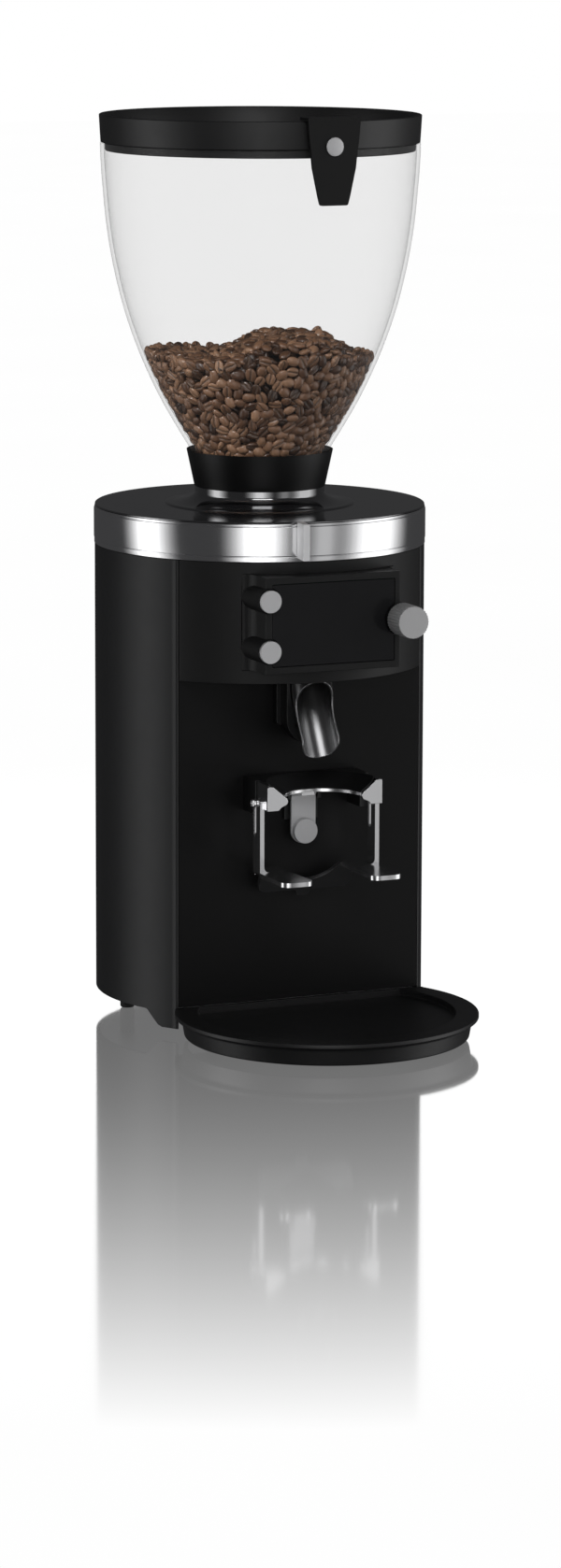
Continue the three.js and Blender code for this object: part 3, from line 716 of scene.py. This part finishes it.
def top_cap():
    flare = []
    for i in range(17):
        angle = math.pi / 2 * i / 16
        flare.append((67.4 - 20.5 * math.sin(angle), CAP_Z + 0.9 + 8 * (1 - math.cos(angle))))
    profile = [(119.1, 371.2), (119.2, 371.9), (118.7, CAP_Z), (68.9, CAP_Z), (68.3, CAP_Z + 0.7), *flare]
    profile += [(NECK_R, COLLAR_Z - 0.3), (36.5, COLLAR_Z - 0.3), (36.5, 336), (55.8, 336), (55.8, 338.4)]
    profile += [(40, 338.4), (40, 368.9), (112, 368.9), (112, 371.2)]
    return lathe(profile, 256)


def base_plate():
    return cut(drum(116.8, 17, 21), block(130, -130, -70.9, 10, 30))


def foot(x, y):
    profile = rounded([(0, 0), (4.6, 0), (5.2, 0.8), (5.2, 16.7), (0, 16.7)], 0.4, closed=False)
    return placed(lathe(profile, 48), Matrix.Translation((x, y, 0)))


# ---------- controls ----------
def control_clearance():
    holes = [rod_y(9.3, BUTTON_X, z, -140, -110) for z in BUTTON_ZS]
    return [*holes, rod_y(11.6, KNOB_X, KNOB_Z, -140, -110)]


def display_glass():
    pane = rounded(rect(-46.9, 46.9, 272.6, 330.6), 0.6)
    return cut(prism(pane, BOX_Y + 0.3, BOX_Y + 2.6, "Y"), *control_clearance())


def button(z):
    profile = [(0, -136.5), (8, -136.5), (8, -130.4), (3, -130.4), (3, -98.5), (0, -98.5)]
    return turned_y(profile, BUTTON_X, z)


def knob():
    """Knurled knob: rounded flutes round a drum that is chamfered at both ends."""
    radius = 11.7
    flutes = 36
    per_flute = 8
    outline = []
    for i in range(flutes * per_flute):
        angle = 2 * math.pi * i / (flutes * per_flute)
        dip = 0.5 * (0.5 - 0.5 * math.cos(flutes * angle)) ** 2
        outline.append((math.sin(angle), math.cos(angle), radius - dip))
    stations = [(-133.8, 0.5), (-134.2, 0), (-153.0, 0), (-153.5, 0.5)]
    vertices = []
    for y, inset in stations:
        for s, c, r in outline:
            reach = min(r, radius - inset)
            vertices.append((KNOB_X + s * reach, y, KNOB_Z + c * reach))
    count = len(outline)
    faces = [list(range(count)), list(range((len(stations) - 1) * count, len(stations) * count))]
    for row in range(len(stations) - 1):
        for k in range(count):
            after = (k + 1) % count
            low, high = row * count, (row + 1) * count
            faces.append([low + k, low + after, high + after, high + k])
    return cut(solid(vertices, faces), rod_y(3.3, KNOB_X, KNOB_Z, -147.4, -130))


# ---------- outlet and portafilter holder ----------
def spout():
    """Tube whose front is cut away into a scoop."""
    pipe = tube(SPOUT_R, SPOUT_R - 1.2, -56, 10.3, 160)
    mouth = rounded([
        (-16, -4.2), (-14.6, -5), (-12, -6.2), (-9, -8), (-5.5, -10.6), (-2, -13.6), (0.4, -17),
        (1.6, -22), (1.8, -27), (1.2, -34), (0.6, -40), (1.2, -43.6), (3, -46.4), (6, -49),
        (10, -51.2), (16, -52.6), (16, -70), (-40, -70), (-40, -4.2),
    ], 3, 4, sharpest=6)
    return placed(cut(pipe, prism(mouth, -20, 20, "X")), SPOUT_FRAME)


def spout_plate():
    top = HEAD_Z - 0.3
    outline = [(-20.9, top), (-20.9, 223.5), (-19, 221.8), (19, 221.8), (20.9, 223.5), (20.9, top)]
    plate = prism(rounded(outline, 1), -79.6, PANEL_FACE, "Y")
    return cut(plate, spout_rod(SPOUT_R + 0.5, -60, 30))


def spout_clamp():
    outer = prism([(17.6, 256.8), (-17.6, 256.8)] + arc(17.6, -90, 90, 40, 0, 227), -90.5, -79.9, "Y")
    inner = prism([(11.4, 250), (-11.4, 250)] + arc(11.4, -90, 90, 32, 0, 227), -95, -70, "Y")
    return cut(outer, inner, spout_rod(SPOUT_R + 0.5, -60, 30))


def cradle_cone():
    profile = [
        (0, CRADLE_Z - 5), (CRADLE_R, CRADLE_Z - 5), (CRADLE_R, CRADLE_Z + 2.6),
        (CRADLE_R + 13, CRADLE_Z + 12.8), (CRADLE_R + 16, BLOCK_TOP + 4), (0, BLOCK_TOP + 4),
    ]
    return placed(lathe(profile, 192), Matrix.Translation((0, CRADLE_Y, 0)))


def holder_block():
    slab = block(43.9, -95.3, PANEL_FACE, 161, BLOCK_TOP)
    wings = block(41, -115.6, -95, CRADLE_Z + 2.8, BLOCK_TOP)
    under = block(37.5, -96, -70, 150, CRADLE_Z + 2.8)
    corners = [
        prism([(side * 45, -116.5), (side * 45, -108), (side * 36, -116.5)], 160, 190) for side in (-1, 1)
    ]
    return cut(join(slab, wings), under, cradle_cone(), *corners)


def upper_fork():
    plan = [
        (-43.2, -116.2), (43.2, -116.2), (43.2, -95.7), (37.1, -95.7),
        (37.1, -84.2), (-37.1, -84.2), (-37.1, -95.7), (-43.2, -95.7),
    ]
    throat = placed(drum(CRADLE_R, 160, 190), Matrix.Translation((0, CRADLE_Y, 0)))
    plate = cut(prism(plan, CRADLE_Z, CRADLE_Z + 2.5), throat)
    parts = [block(5, -88.7, -86.6, CRADLE_Z - 2.4, CRADLE_Z + 0.5)]
    ear = rounded([
        (44.5, 167.1), (44.5, 184.2), (43.2, 184.9), (40.2, 184.5), (32.6, 178), (29.4, 175.7),
        (28.7, 173.6), (29.6, 171.2), (34, 169.2), (36, 167.1),
    ], 0.7, 4)
    for side in (-1, 1):
        parts.append(prism([(side * x, z) for x, z in ear], -118.4, -116, "Y"))
        parts.append(side_box(side, 41.3, 43.3, -116.4, -96.6, 167.2, BLOCK_TOP - 1))
    return cut(join(plate, *parts), rod_x(2.3, SCREW_Y, SCREW_Z, -60, 60))


def mirror_side(mesh, side):
    if side < 0:
        mesh.transform(Matrix.Scale(-1, 4, (1, 0, 0)))
        mesh.flip_normals()
    return mesh


def fork_side(side):
    """Slotted upright that bends at its foot into a flat prong."""
    inner = ARM_X - FORK_SHEET
    front, back = -109.4, -96.8
    upright = rounded(rect(front, back, PRONG_Z + 1, 173.4), 2.4)
    arm = prism(upright, inner, ARM_X, "X")
    slot_line = [(y + SCREW_Y, z + SCREW_Z) for y, z in arc(2.4, 90, 270, 16)]
    slot_line += [(y + SCREW_Y, z + 149.4) for y, z in arc(2.4, 270, 450, 16)]
    arm = cut(arm, prism(slot_line, 30, 60, "X"))
    prong = prism([
        (25.3, -88.4), (40.4, -88.4), (ARM_X, -99), (ARM_X, -145.4), *arc(6, 80, 10, 8, ARM_X - 6.0, -145.4),
        (39.6, -151.8), (30, -151.8), *arc(6, -10, -80, 8, 28.6, -145.8), (22.6, -144.4),
    ], PRONG_Z, PRONG_TOP)
    bend = [(inner + 0.2, PRONG_TOP - 0.1)]
    bend += [(inner - 4 + x, PRONG_TOP + 4 + z) for x, z in arc(4, 0, 90, 8)]
    bend.append((inner + 0.2, PRONG_TOP + 4))
    web = prism(bend, front, back, "Y")
    heel = [(ARM_X - 3, PRONG_Z - 1), (ARM_X + 1, PRONG_Z - 1), (ARM_X + 1, PRONG_Z + 3)]
    heel += [(ARM_X - 3 + x, PRONG_Z + 3 + z) for x, z in arc(3, 90, 0, 9)]
    return mirror_side(cut(join(arm, prong, web), prism(heel, front - 0.2, back + 0.2, "Y")), side)


def fork_apron():
    """Sloping plate behind the prongs, hollowed for the portafilter, with a drip tab."""
    hollow_r, centre = 28, 13.3
    spread = math.degrees(math.acos(centre / hollow_r))
    hollow = [(x, -y - centre) for x, y in arc(hollow_r, -spread, spread, 48)]
    right = [(36.5, 0), (36.5, 16.9), (35.2, 20.7), (31.5, 23.2), (6.5, 23.2), (4.2, 28.2)]
    plate = prism(hollow + right + mirrored(right)[::-1], 0, FORK_SHEET)
    lean = Matrix.Rotation(math.radians(APRON_TILT - 90), 4, "X")
    place = Matrix.Translation((0, APRON_TOP_Y, PRONG_TOP)) @ lean
    return cut(placed(plate, place), block(50, -110, -70, PRONG_TOP, 140))


def lower_fork():
    return join(fork_side(1), fork_side(-1), fork_apron())


def clamp_screw(side):
    out = ARM_X + 0.3
    head = [(0, 38), (2, 38), (2, out - 0.05), (3.4, out - 0.05), (3.4, out + 1.3)]
    head += [(2.7, out + 2), (1.5, out + 2.2), (0, out + 2.2)]
    cross = [
        box(ARM_X + 1.6, 60, SCREW_Y - 2, SCREW_Y + 2, SCREW_Z - 0.4, SCREW_Z + 0.4),
        box(ARM_X + 1.6, 60, SCREW_Y - 0.4, SCREW_Y + 0.4, SCREW_Z - 2, SCREW_Z + 2),
    ]
    return mirror_side(cut(turned_x(head, SCREW_Y, SCREW_Z), *cross), side)


def trigger_bracket():
    plate = cut(block(13, -75.8, PANEL_FACE, 152, 175.2), block(4, -80, -70, 140, 158))
    ears = [side_box(side, 10.2, 13, -82.2, -75.6, 167.5, 175.2) for side in (-1, 1)]
    return join(plate, *ears, rod_x(1, PIVOT_Y, PIVOT_Z, -11, 11))


def trigger_lever():
    outline = [(9.5, PIVOT_Z), (-9.5, PIVOT_Z)] + arc(9.5, -90, 90, 40, 0, DISC_Z)
    plate = prism(outline, PIVOT_Y - 1.1, PIVOT_Y + 1.1, "Y")
    barrel = rod_x(2.5, PIVOT_Y, PIVOT_Z, -9.5, 9.5)
    return cut(join(plate, barrel), rod_x(1.35, PIVOT_Y, PIVOT_Z, -12, 12))


def trigger_disc():
    back = PIVOT_Y - 1.4
    profile = [(0, -85.3), (9, -85.3), (9, back), (0, back)]
    return turned_y(profile, 0, DISC_Z, 128)


def tray():
    profile = rounded([
        (0, 15.2), (91.2, 15.2), (92, 16), (92, TRAY_TOP), (108.2, TRAY_TOP), (TRAY_R, 19.6),
        (TRAY_R, 17.2), (108, 16.8), (105, 16.3), (103.8, 14.6), (102, 4.2), (101.4, 3.5),
        (99.4, 3.5), (101, 13.2), (0, 13.2),
    ], 0.7, 4, closed=False)
    centre = Matrix.Translation((0, TRAY_Y, 0))
    dish = placed(lathe(profile, 288), centre)
    rim = placed(drum(TRAY_R - 0.05, 13.2, TRAY_TOP, 288), centre)
    wall = common(rim, block(120, PANEL_FACE - 2.4, PANEL_FACE, 13.2, TRAY_TOP))
    return join(cut(dish, block(150, PANEL_FACE, 100, 0, 30)), wall)


# ---------- hopper ----------
HOPPER_KNOTS = [
    (44.4, 391.9), (45.6, 400), (49.2, 409), (54.4, 418), (59.6, 426.5), (72.9, 450), (86.6, 480),
    (97.2, 510), (104.8, 540), (110, 570), (113, 600), (114.4, 620), (114.7, 631.1),
]


def hopper_outside():
    """Smooth line through the knots of the hopper's outer wall."""
    steps = 10
    knots = [Vector(k) for k in HOPPER_KNOTS]
    last = len(knots) - 1
    line = []
    for i in range(last):
        p0, p1, p2, p3 = knots[max(i - 1, 0)], knots[i], knots[i + 1], knots[min(i + 2, last)]
        v0, v1 = (p2 - p0) / 2, (p3 - p1) / 2
        for k in range(steps):
            t = k / steps
            cubic = 2 * p1 - 2 * p2 + v0 + v1
            square = 3 * p2 - 3 * p1 - 2 * v0 - v1
            line.append(cubic * t ** 3 + square * t * t + v0 * t + p1)
    line.append(knots[-1])
    return line


def hopper_line(offset):
    """The wall's line moved inwards, as (radius, z) points; its two ends stay at their height."""
    outside = hopper_outside()
    points = []
    for i, point in enumerate(outside):
        run = outside[min(i + 1, len(outside) - 1)] - outside[max(i - 1, 0)]
        run.normalize()
        if i in (0, len(outside) - 1):
            run = Vector((0, 1))
        points.append((point.x - run.y * offset, point.y + run.x * offset))
    return points


def hopper_shell():
    line = hopper_line(0) + hopper_line(HOPPER_WALL)[::-1]
    return lathe(line, 256)


def hopper_collar():
    profile = [
        (26, COLLAR_Z - 6), (36, COLLAR_Z - 6), (36, COLLAR_Z), (47.3, COLLAR_Z), (47.5, COLLAR_Z + 0.8),
        (52.7, COLLAR_TOP - 0.9), (52.9, COLLAR_TOP), (51.9, COLLAR_TOP), (49.9, 408.4), (46.4, 400.4),
        (45.6, 391.2), (45.6, 388), (26, 388),
    ]
    return cut(lathe(profile, 224), box(-31, 31, 20, 60, 388.2, 391.4))


def gate():
    plate = [(-30, 53.5), (-30, -25), (-25, -30), (25, -30), (30, -25), (30, 53.5)]
    return join(prism(plate, 388.4, 390.4), block(14, 50, 53.5, 388.4, 393))


def lid():
    profile = rounded([
        (0, 636), (106, 636), (108.4, 638), (112.6, 650.6), (113.2, LID_TOP), (115, LID_TOP), (115.5, 650.8),
        (114.4, 631.9), (113.9, HOPPER_TOP + 0.3), (111.4, HOPPER_TOP + 0.3), (111.2, 625.6), (108.8, 625.6),
        (108.6, 633), (106, 634), (0, 634),
    ], 0.6, 4, closed=False)
    return lathe(profile, 288)


CLIP_TURN = Matrix.Rotation(math.radians(1.8), 4, "Z")


def lid_clip():
    """Clip that hooks over the lid's rim and hangs down outside the hopper."""
    face_y = -121
    side = [(20.4, 654.2), (19.2, 640), (17.6, 628), (16.7, 619.5), (14.6, 610), (12.4, 600), (10.6, 593.2)]
    face = rounded([(-x, z) for x, z in side] + side[::-1], 1.6, 5)
    plate = prism(face, face_y, face_y + 2.4, "Y")
    hook = block(20.4, face_y + 2, -108, 652, 654.2)
    post = block(16, face_y + 2, -116.2, 634, 652.4)
    lip = block(18, -110.6, -108, 648, 652.4)
    rim = drum(115.9, 600, LID_TOP + 0.3, 288)
    return placed(cut(join(plate, hook, post, lip), rim), CLIP_TURN)


def lid_badge():
    profile = [(0, -122.3), (6.1, -122.3), (6.4, -122.15), (6.5, -121.9), (6.5, -121.3), (0, -121.3)]
    return placed(turned_y(profile, 0, 634, 96), CLIP_TURN)


# ---------- beans ----------
BEAN_HALF_LENGTH = 5.4
BEAN_HALF_WIDTH = 3.95
# A layer deeper than this is hidden by the one over it, and its beans get painted shade: their tone is scaled
# down so they look dark.
SEEN_DEPTH = 5.4
HIDDEN_LAYER_SHADE = 0.05
PILE_FLOOR = 391.2


def bean_shape():
    """One bean with a domed back, and a flat front with a crease.

    Returns its points, its faces and how much each point is in the crease.
    """
    stations = 11
    around = [0, 5, 12, 26, 48, 75, 102, 130, 158, 180, 202, 230, 258, 285, 312, 334, 348, 355]
    points, crease = [(-BEAN_HALF_LENGTH, 0, 0)], [0.3]
    for i in range(1, stations + 1):
        along = -math.cos(math.pi * i / (stations + 1))
        swell = math.sqrt(1 - along * along) ** 0.9
        for angle in around:
            a = math.radians(angle)
            y = BEAN_HALF_WIDTH * swell * math.sin(a)
            lift = -math.cos(a)
            z = (2.7 * lift if lift > 0 else -1.8 * (-lift) ** 0.4) * swell
            wander = 0.5 * math.sin(along * 2.4)
            depth = math.exp(-(((y - wander * (abs(y) < 2)) / 0.55) ** 2)) if lift < 0 else 0
            z += 0.95 * depth * (1 - along ** 4)
            points.append((BEAN_HALF_LENGTH * along, y, z))
            crease.append(depth)
    points.append((BEAN_HALF_LENGTH, 0, 0))
    crease.append(0.3)
    ring = len(around)
    faces = []
    for k in range(ring):
        after = (k + 1) % ring
        faces.append((0, 1 + after, 1 + k))
        top = 1 + (stations - 1) * ring
        faces.append((top + k, top + after, len(points) - 1))
        for row in range(stations - 1):
            low, high = 1 + row * ring, 1 + (row + 1) * ring
            faces.append((low + k, low + after, high + after, high + k))
    return np.array(points), faces, np.array(crease)


def pile_top(x, y):
    """Height of the pile: lowest at the wall, with a broad hump right of the middle."""
    camera_right = x * 0.916 - y * 0.401
    away = np.hypot(x, y)
    rim = 478 + 4.5 * np.exp(-(((camera_right + 80) / 22) ** 2))
    hump = 15.5 * np.exp(-(((camera_right - 23) / 38) ** 4)) * np.clip((90 - away) / 30, 0, 1)
    return rim + hump


def inner_radius(z):
    line = hopper_line(HOPPER_WALL)
    return np.interp(z, [p[1] for p in line], [p[0] for p in line])


def spread_out(points, project, gap):
    """Pushes points apart to about gap from their neighbours, and keeps them on their surface."""
    rounds = 40
    for _ in range(rounds):
        apart = points[:, None, :] - points[None, :, :]
        distance = np.linalg.norm(apart, axis=2) + np.eye(len(points)) * 1e3
        push = np.clip(gap - distance, 0, None) / np.maximum(distance, 1e-3)
        points = project(points + 0.28 * (apart * push[:, :, None]).sum(axis=1))
    return points


def wall_layer(rng, depth, count, gap):
    """Bean centres against the hopper wall, with the direction that faces out."""
    z = rng.uniform(395, 480, count * 2)
    keep = rng.uniform(0, 1, count * 2) < inner_radius(z) / 90
    z = z[keep][:count]
    turn = rng.uniform(0, 2 * math.pi, len(z))
    points = np.stack([np.cos(turn), np.sin(turn), z], axis=1)
    points[:, :2] *= (inner_radius(z) - depth)[:, None]

    def project(p):
        p = p.copy()
        p[:, 2] = np.clip(p[:, 2], 394.5 + depth * 0.5, None)
        away = np.maximum(np.hypot(p[:, 0], p[:, 1]), 1e-6)
        top = pile_top(p[:, 0], p[:, 1]) - depth * 0.4
        p[:, 2] = np.minimum(p[:, 2], top)
        wanted = inner_radius(p[:, 2]) - depth * 1.08
        p[:, :2] *= (wanted / away)[:, None]
        return p

    points = spread_out(project(points), project, gap)
    slope = (inner_radius(points[:, 2] + 1) - inner_radius(points[:, 2] - 1)) / 2
    away = np.hypot(points[:, 0], points[:, 1])
    out = np.stack([points[:, 0] / away, points[:, 1] / away, -slope], axis=1)
    return points, out / np.linalg.norm(out, axis=1)[:, None]


def top_layer(rng, depth, count, gap):
    """Bean centres on the top of the pile, facing up."""
    away = 78 * np.sqrt(rng.uniform(0, 1, count))
    turn = rng.uniform(0, 2 * math.pi, count)
    points = np.stack([away * np.cos(turn), away * np.sin(turn), away * 0], axis=1)
    bumps = rng.uniform(-1.2, 1.8, count)

    def project(p):
        p = p.copy()
        reach = np.hypot(p[:, 0], p[:, 1])
        limit = inner_radius(pile_top(p[:, 0], p[:, 1])) - 7
        p[:, :2] *= np.minimum(1, limit / np.maximum(reach, 1e-6))[:, None]
        p[:, 2] = pile_top(p[:, 0], p[:, 1]) - depth + bumps
        return p

    points = spread_out(project(points), project, gap)
    up = np.zeros_like(points)
    up[:, 2] = 1
    return points, up


def bean_frames(rng, facing, tilt):
    """Random orthonormal axes whose thin direction stays near the facing direction."""
    wobble = facing + rng.normal(0, tilt, facing.shape)
    thin = wobble / np.linalg.norm(wobble, axis=1)[:, None]
    flip = np.where(rng.uniform(0, 1, len(thin)) < 0.5, -1.0, 1.0)
    thin = thin * flip[:, None]
    loose = rng.normal(0, 1, facing.shape)
    long = loose - (loose * thin).sum(axis=1)[:, None] * thin
    long /= np.linalg.norm(long, axis=1)[:, None]
    return np.stack([long, np.cross(thin, long), thin], axis=1)


def make_beans():
    """All the beans as one mesh of closed bodies, in layers under the wall and the pile's top."""
    rng = np.random.default_rng(41)
    shape, faces, crease = bean_shape()
    layers = []
    for maker, depth, count, gap, tilt in (
        (wall_layer, 2.9, 620, 8.3, 0.22), (wall_layer, 6.8, 480, 8.8, 0.6),
        (top_layer, 1.8, 330, 8.2, 0.3), (top_layer, 6.2, 280, 8.6, 0.6),
    ):
        points, facing = maker(rng, depth, count, gap)
        # Beans of a hidden layer get painted shade: their random tone is scaled down.
        painted_shade_scale = HIDDEN_LAYER_SHADE if depth > SEEN_DEPTH else 1.0
        layers.append((points, facing, np.full(len(points), tilt), np.full(len(points), painted_shade_scale)))
    centres, facings, tilts, painted_shade_scale = (np.concatenate(column) for column in zip(*layers))
    axes = bean_frames(rng, facings, tilts[:, None])
    size = rng.uniform(0.88, 1.06, (len(centres), 1, 1))
    cloud = (shape[None] * size) @ axes + centres[:, None, :]
    cloud = inside_hopper(cloud, centres)
    count = len(shape)
    vertices = cloud.reshape(-1, 3) * MM
    all_faces = [tuple(v + i * count for v in face) for i in range(len(centres)) for face in faces]
    mesh = bpy.data.meshes.new("beans")
    mesh.from_pydata(vertices.tolist(), [], all_faces)
    mesh.shade_smooth()
    tone = mesh.attributes.new("tone", "FLOAT", "POINT")
    tone.data.foreach_set("value", np.repeat(rng.uniform(0, 1, len(centres)) * painted_shade_scale, count))
    line = mesh.attributes.new("crease", "FLOAT", "POINT")
    line.data.foreach_set("value", np.tile(crease, len(centres)))
    return mesh


def inside_hopper(cloud, centres):
    """Moves each bean inwards until no point of it crosses the inner face of the wall."""
    clearance = 0.35
    for _ in range(3):
        reach = np.hypot(cloud[..., 0], cloud[..., 1])
        over = (reach - (inner_radius(cloud[..., 2]) - clearance)).max(axis=1)
        away = np.hypot(centres[:, 0], centres[:, 1])
        inward = -centres[:, :2] / np.maximum(away, 1e-6)[:, None]
        near_wall = np.where(away > 20, np.clip(over, 0, None), 0)
        cloud[..., :2] += (inward * near_wall[:, None])[:, None, :]
    low = cloud[..., 2].min(axis=1)
    cloud[..., 2] += np.clip(PILE_FLOOR - low, 0, None)[:, None]
    return cloud


def bean_shade_core():
    """Dark heart of the pile under the shells of beans, a dark body put in as painted shade deep in the pile.
    """
    wall = [(r - 12, z) for r, z in hopper_line(HOPPER_WALL) if 398 < z < 462]
    return lathe([(0, 395), (26, 395), *wall, (60, 464), (30, 474), (0, 478)], 64)


# ---------- floor and light ----------
def make_floor():
    paint = Paint("studio_floor")
    speck = paint.noise(400, 2)
    reach = paint.node("VectorMath", {"operation": "LENGTH"}, {0: paint.place}, out="Value")
    fade = 0.87 * paint.node("Clamp", {}, {0: 1.0 - (reach / 1.05) ** 2.3})
    white = paint.mix(speck, (0.985, 0.985, 0.985), (1, 1, 1))
    glow = paint.node("Emission", {}, {"Color": white, "Strength": 1.0})
    gloss = paint.node("BsdfGlossy", {}, {"Color": (0.95, 0.95, 0.95), "Roughness": 0.07})
    shader = paint.node("MixShader", {}, {0: fade, 1: glow, 2: gloss})
    mesh = bpy.data.meshes.new("studio_floor")
    half = 12.0
    mesh.from_pydata([(x, y, 0) for x, y in rect(-half, half, -half, half)], [], [(0, 1, 2, 3)])
    mesh.materials.append(paint.surface(shader))
    floor = new_object("studio_floor", mesh)
    floor.location.z = -0.0005
    floor.visible_glossy = False
    floor.visible_diffuse = False
    return floor


def softbox(name, bearing, distance, width, height, z, radiance, aim_z=0.35):
    """Area light that faces the object; bearing 0 is in front of it and grows towards +X."""
    data = bpy.data.lights.new(name, "AREA")
    data.shape = "RECTANGLE"
    data.size = width
    data.size_y = height
    data.energy = radiance * math.pi * width * height
    light = new_object(name, data)
    angle = math.radians(bearing)
    light.location = (distance * math.sin(angle), -distance * math.cos(angle), z)
    aim = Vector((0, 0, aim_z)) - light.location
    light.rotation_euler = aim.to_track_quat("-Z", "Y").to_euler()
    light.visible_camera = False
    return light


def soft_edged(name, bearing, distance, width, height, z, radiance, blur=1.2):
    """Area lights, each a little behind the last, whose sum fades out to the left and right."""
    steps = 6
    spacing = 0.04
    total = steps * (steps + 1) / 2
    for k in range(steps):
        share = 1 - blur / 2 + blur * k / (steps - 1)
        part = (steps - k) / total
        behind = distance + spacing * k
        softbox(f"{name}_{k + 1}", bearing, behind, width * share, height, z, radiance * part)


def lights_only(light, name, receivers):
    """Keeps a light to the named pieces."""
    linked = bpy.data.collections.new(name)
    for receiver in receivers:
        linked.objects.link(receiver)
    light.light_linking.receiver_collection = linked


def make_light(floor):
    world = bpy.data.worlds.new("studio")
    bpy.context.scene.world = world
    world.use_nodes = True
    tree = world.node_tree
    tree.nodes.clear()
    path = tree.nodes.new("ShaderNodeLightPath")
    seen = tree.nodes.new("ShaderNodeBackground")
    seen.inputs["Color"].default_value = (1, 1, 1, 1)
    fill = tree.nodes.new("ShaderNodeBackground")
    fill.inputs["Color"].default_value = (0.05, 0.05, 0.0515, 1)
    mix = tree.nodes.new("ShaderNodeMixShader")
    out = tree.nodes.new("ShaderNodeOutputWorld")
    tree.links.new(path.outputs["Is Camera Ray"], mix.inputs[0])
    tree.links.new(fill.outputs[0], mix.inputs[1])
    tree.links.new(seen.outputs[0], mix.inputs[2])
    tree.links.new(mix.outputs[0], out.inputs["Surface"])
    # Bearing of the camera.
    front = -23.4
    soft_edged("left_strip", front - 82, 3.0, 1.8, 4.0, 0.3, 1.8)
    soft_edged("front_panel_light", front, 5.0, 3.1, 3.4, 0.2, 1.9)
    soft_edged("right_strip", front + 88, 3.0, 2.8, 4.0, 0.3, 1.5, 1.0)
    soft_edged("side_glow", front + 45, 3.6, 1.6, 3.4, 0.3, 0.5)
    softbox("high_light", front + 6, 3.4, 2.4, 1.6, 3.6, 3.2, 0.5)
    for number, side in enumerate((180, 90, 0, -90), 1):
        backdrop = softbox(f"floor_backdrop_{number}", front + side, 7.0, 14, 6.0, 2.6, 1.05, 2.6)
        lights_only(backdrop, f"floor_only_{number}", [floor])
    bean_key = softbox("bean_key", front - 38, 2.2, 0.45, 0.45, 1.7, 58, 0.44)
    lights_only(bean_key, "beans_only", [bpy.data.objects["beans"], bpy.data.objects["bean_shade_core"]])


# ---------- assembly ----------
def build_body():
    skin("side_casing", side_casing(), "casing")
    skin("front_panel", front_panel(), "panel", edge=0.25)
    skin("head_cover", head_cover(), "moulding", edge=0.35)
    skin("base_plate", base_plate(), "steel")
    skin("setting_ring", setting_ring(), "chrome", "setting_wheel", 0)
    skin("setting_pointer", setting_pointer(), "pointer", "setting_wheel", 0.35)
    skin("top_cap", top_cap(), "dark_mirror", edge=0)
    for number, (x, y) in enumerate(FEET, 1):
        skin(f"foot_{number}", foot(x, y), "rubber", edge=0)


def build_controls():
    skin("display_glass", display_glass(), "screen", edge=0.25)
    for name, z in zip(("upper", "lower"), BUTTON_ZS):
        skin(f"button_{name}", button(z), "satin", f"{name}_button", 0.4)
    skin("knob", knob(), "knob", "selector_knob", 0, smallest_angle=30)


def build_outlet():
    skin("spout", spout(), "spout_chrome")
    skin("spout_plate", spout_plate(), "block", edge=0.4)
    skin("spout_clamp", spout_clamp(), "block", edge=0.4)
    skin("holder_block", holder_block(), "block", edge=0.5)
    skin("upper_fork", upper_fork(), "fork_chrome")
    skin("trigger_bracket", trigger_bracket(), "block")
    skin("trigger_lever", trigger_lever(), "lever", "trigger")
    skin("trigger_disc", trigger_disc(), "lever", "trigger", 0.35)
    skin("lower_fork", lower_fork(), "fork_chrome", "fork", clamp=True)
    for name, side in (("left", -1), ("right", 1)):
        skin(f"clamp_screw_{name}", clamp_screw(side), "fork_chrome", edge=0.15)
    skin("tray", tray(), "tray", "tray_unit", clamp=True)


def build_hopper():
    skin("hopper_shell", hopper_shell(), "clear", "hopper_unit", 0)
    skin("hopper_collar", hopper_collar(), "gloss_black", "hopper_unit", 0)
    skin("gate", gate(), "moulding", "gate_slide", 0.4)
    skin("lid", lid(), "lid", "lid_unit", 0)
    skin("lid_clip", lid_clip(), "gloss_black", "lid_unit", 0.5, clamp=True)
    skin("lid_badge", lid_badge(), "satin", "lid_unit", 0)
    # The dark core inside the pile is painted shade.
    add_piece("bean_shade_core", bean_shade_core(), "bean", "hopper_unit", (), 0)
    beans = new_object("beans", make_beans())
    beans.data.materials.append(FINISHES["bean"])
    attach(beans, "hopper_unit")
    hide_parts("bean_fill")


def paint_frame_nodes():
    """The frame's own pieces that stay get the finish of their slot."""
    for part in frame["record"]["subparts"]:
        node = frame["nodes"][part["node"]]
        if node.hide_render:
            continue
        node.data.materials.clear()
        slot = part["material_slot"]
        node.data.materials.append(FINISHES[FINISH_OF_SLOT.get(slot, slot)])
        soften(node, 0.25, 50, clamp=True)


make_camera()
build_body()
build_controls()
build_outlet()
build_hopper()
paint_frame_nodes()
make_light(make_floor())
bpy.context.scene.view_settings.view_transform = "Standard"
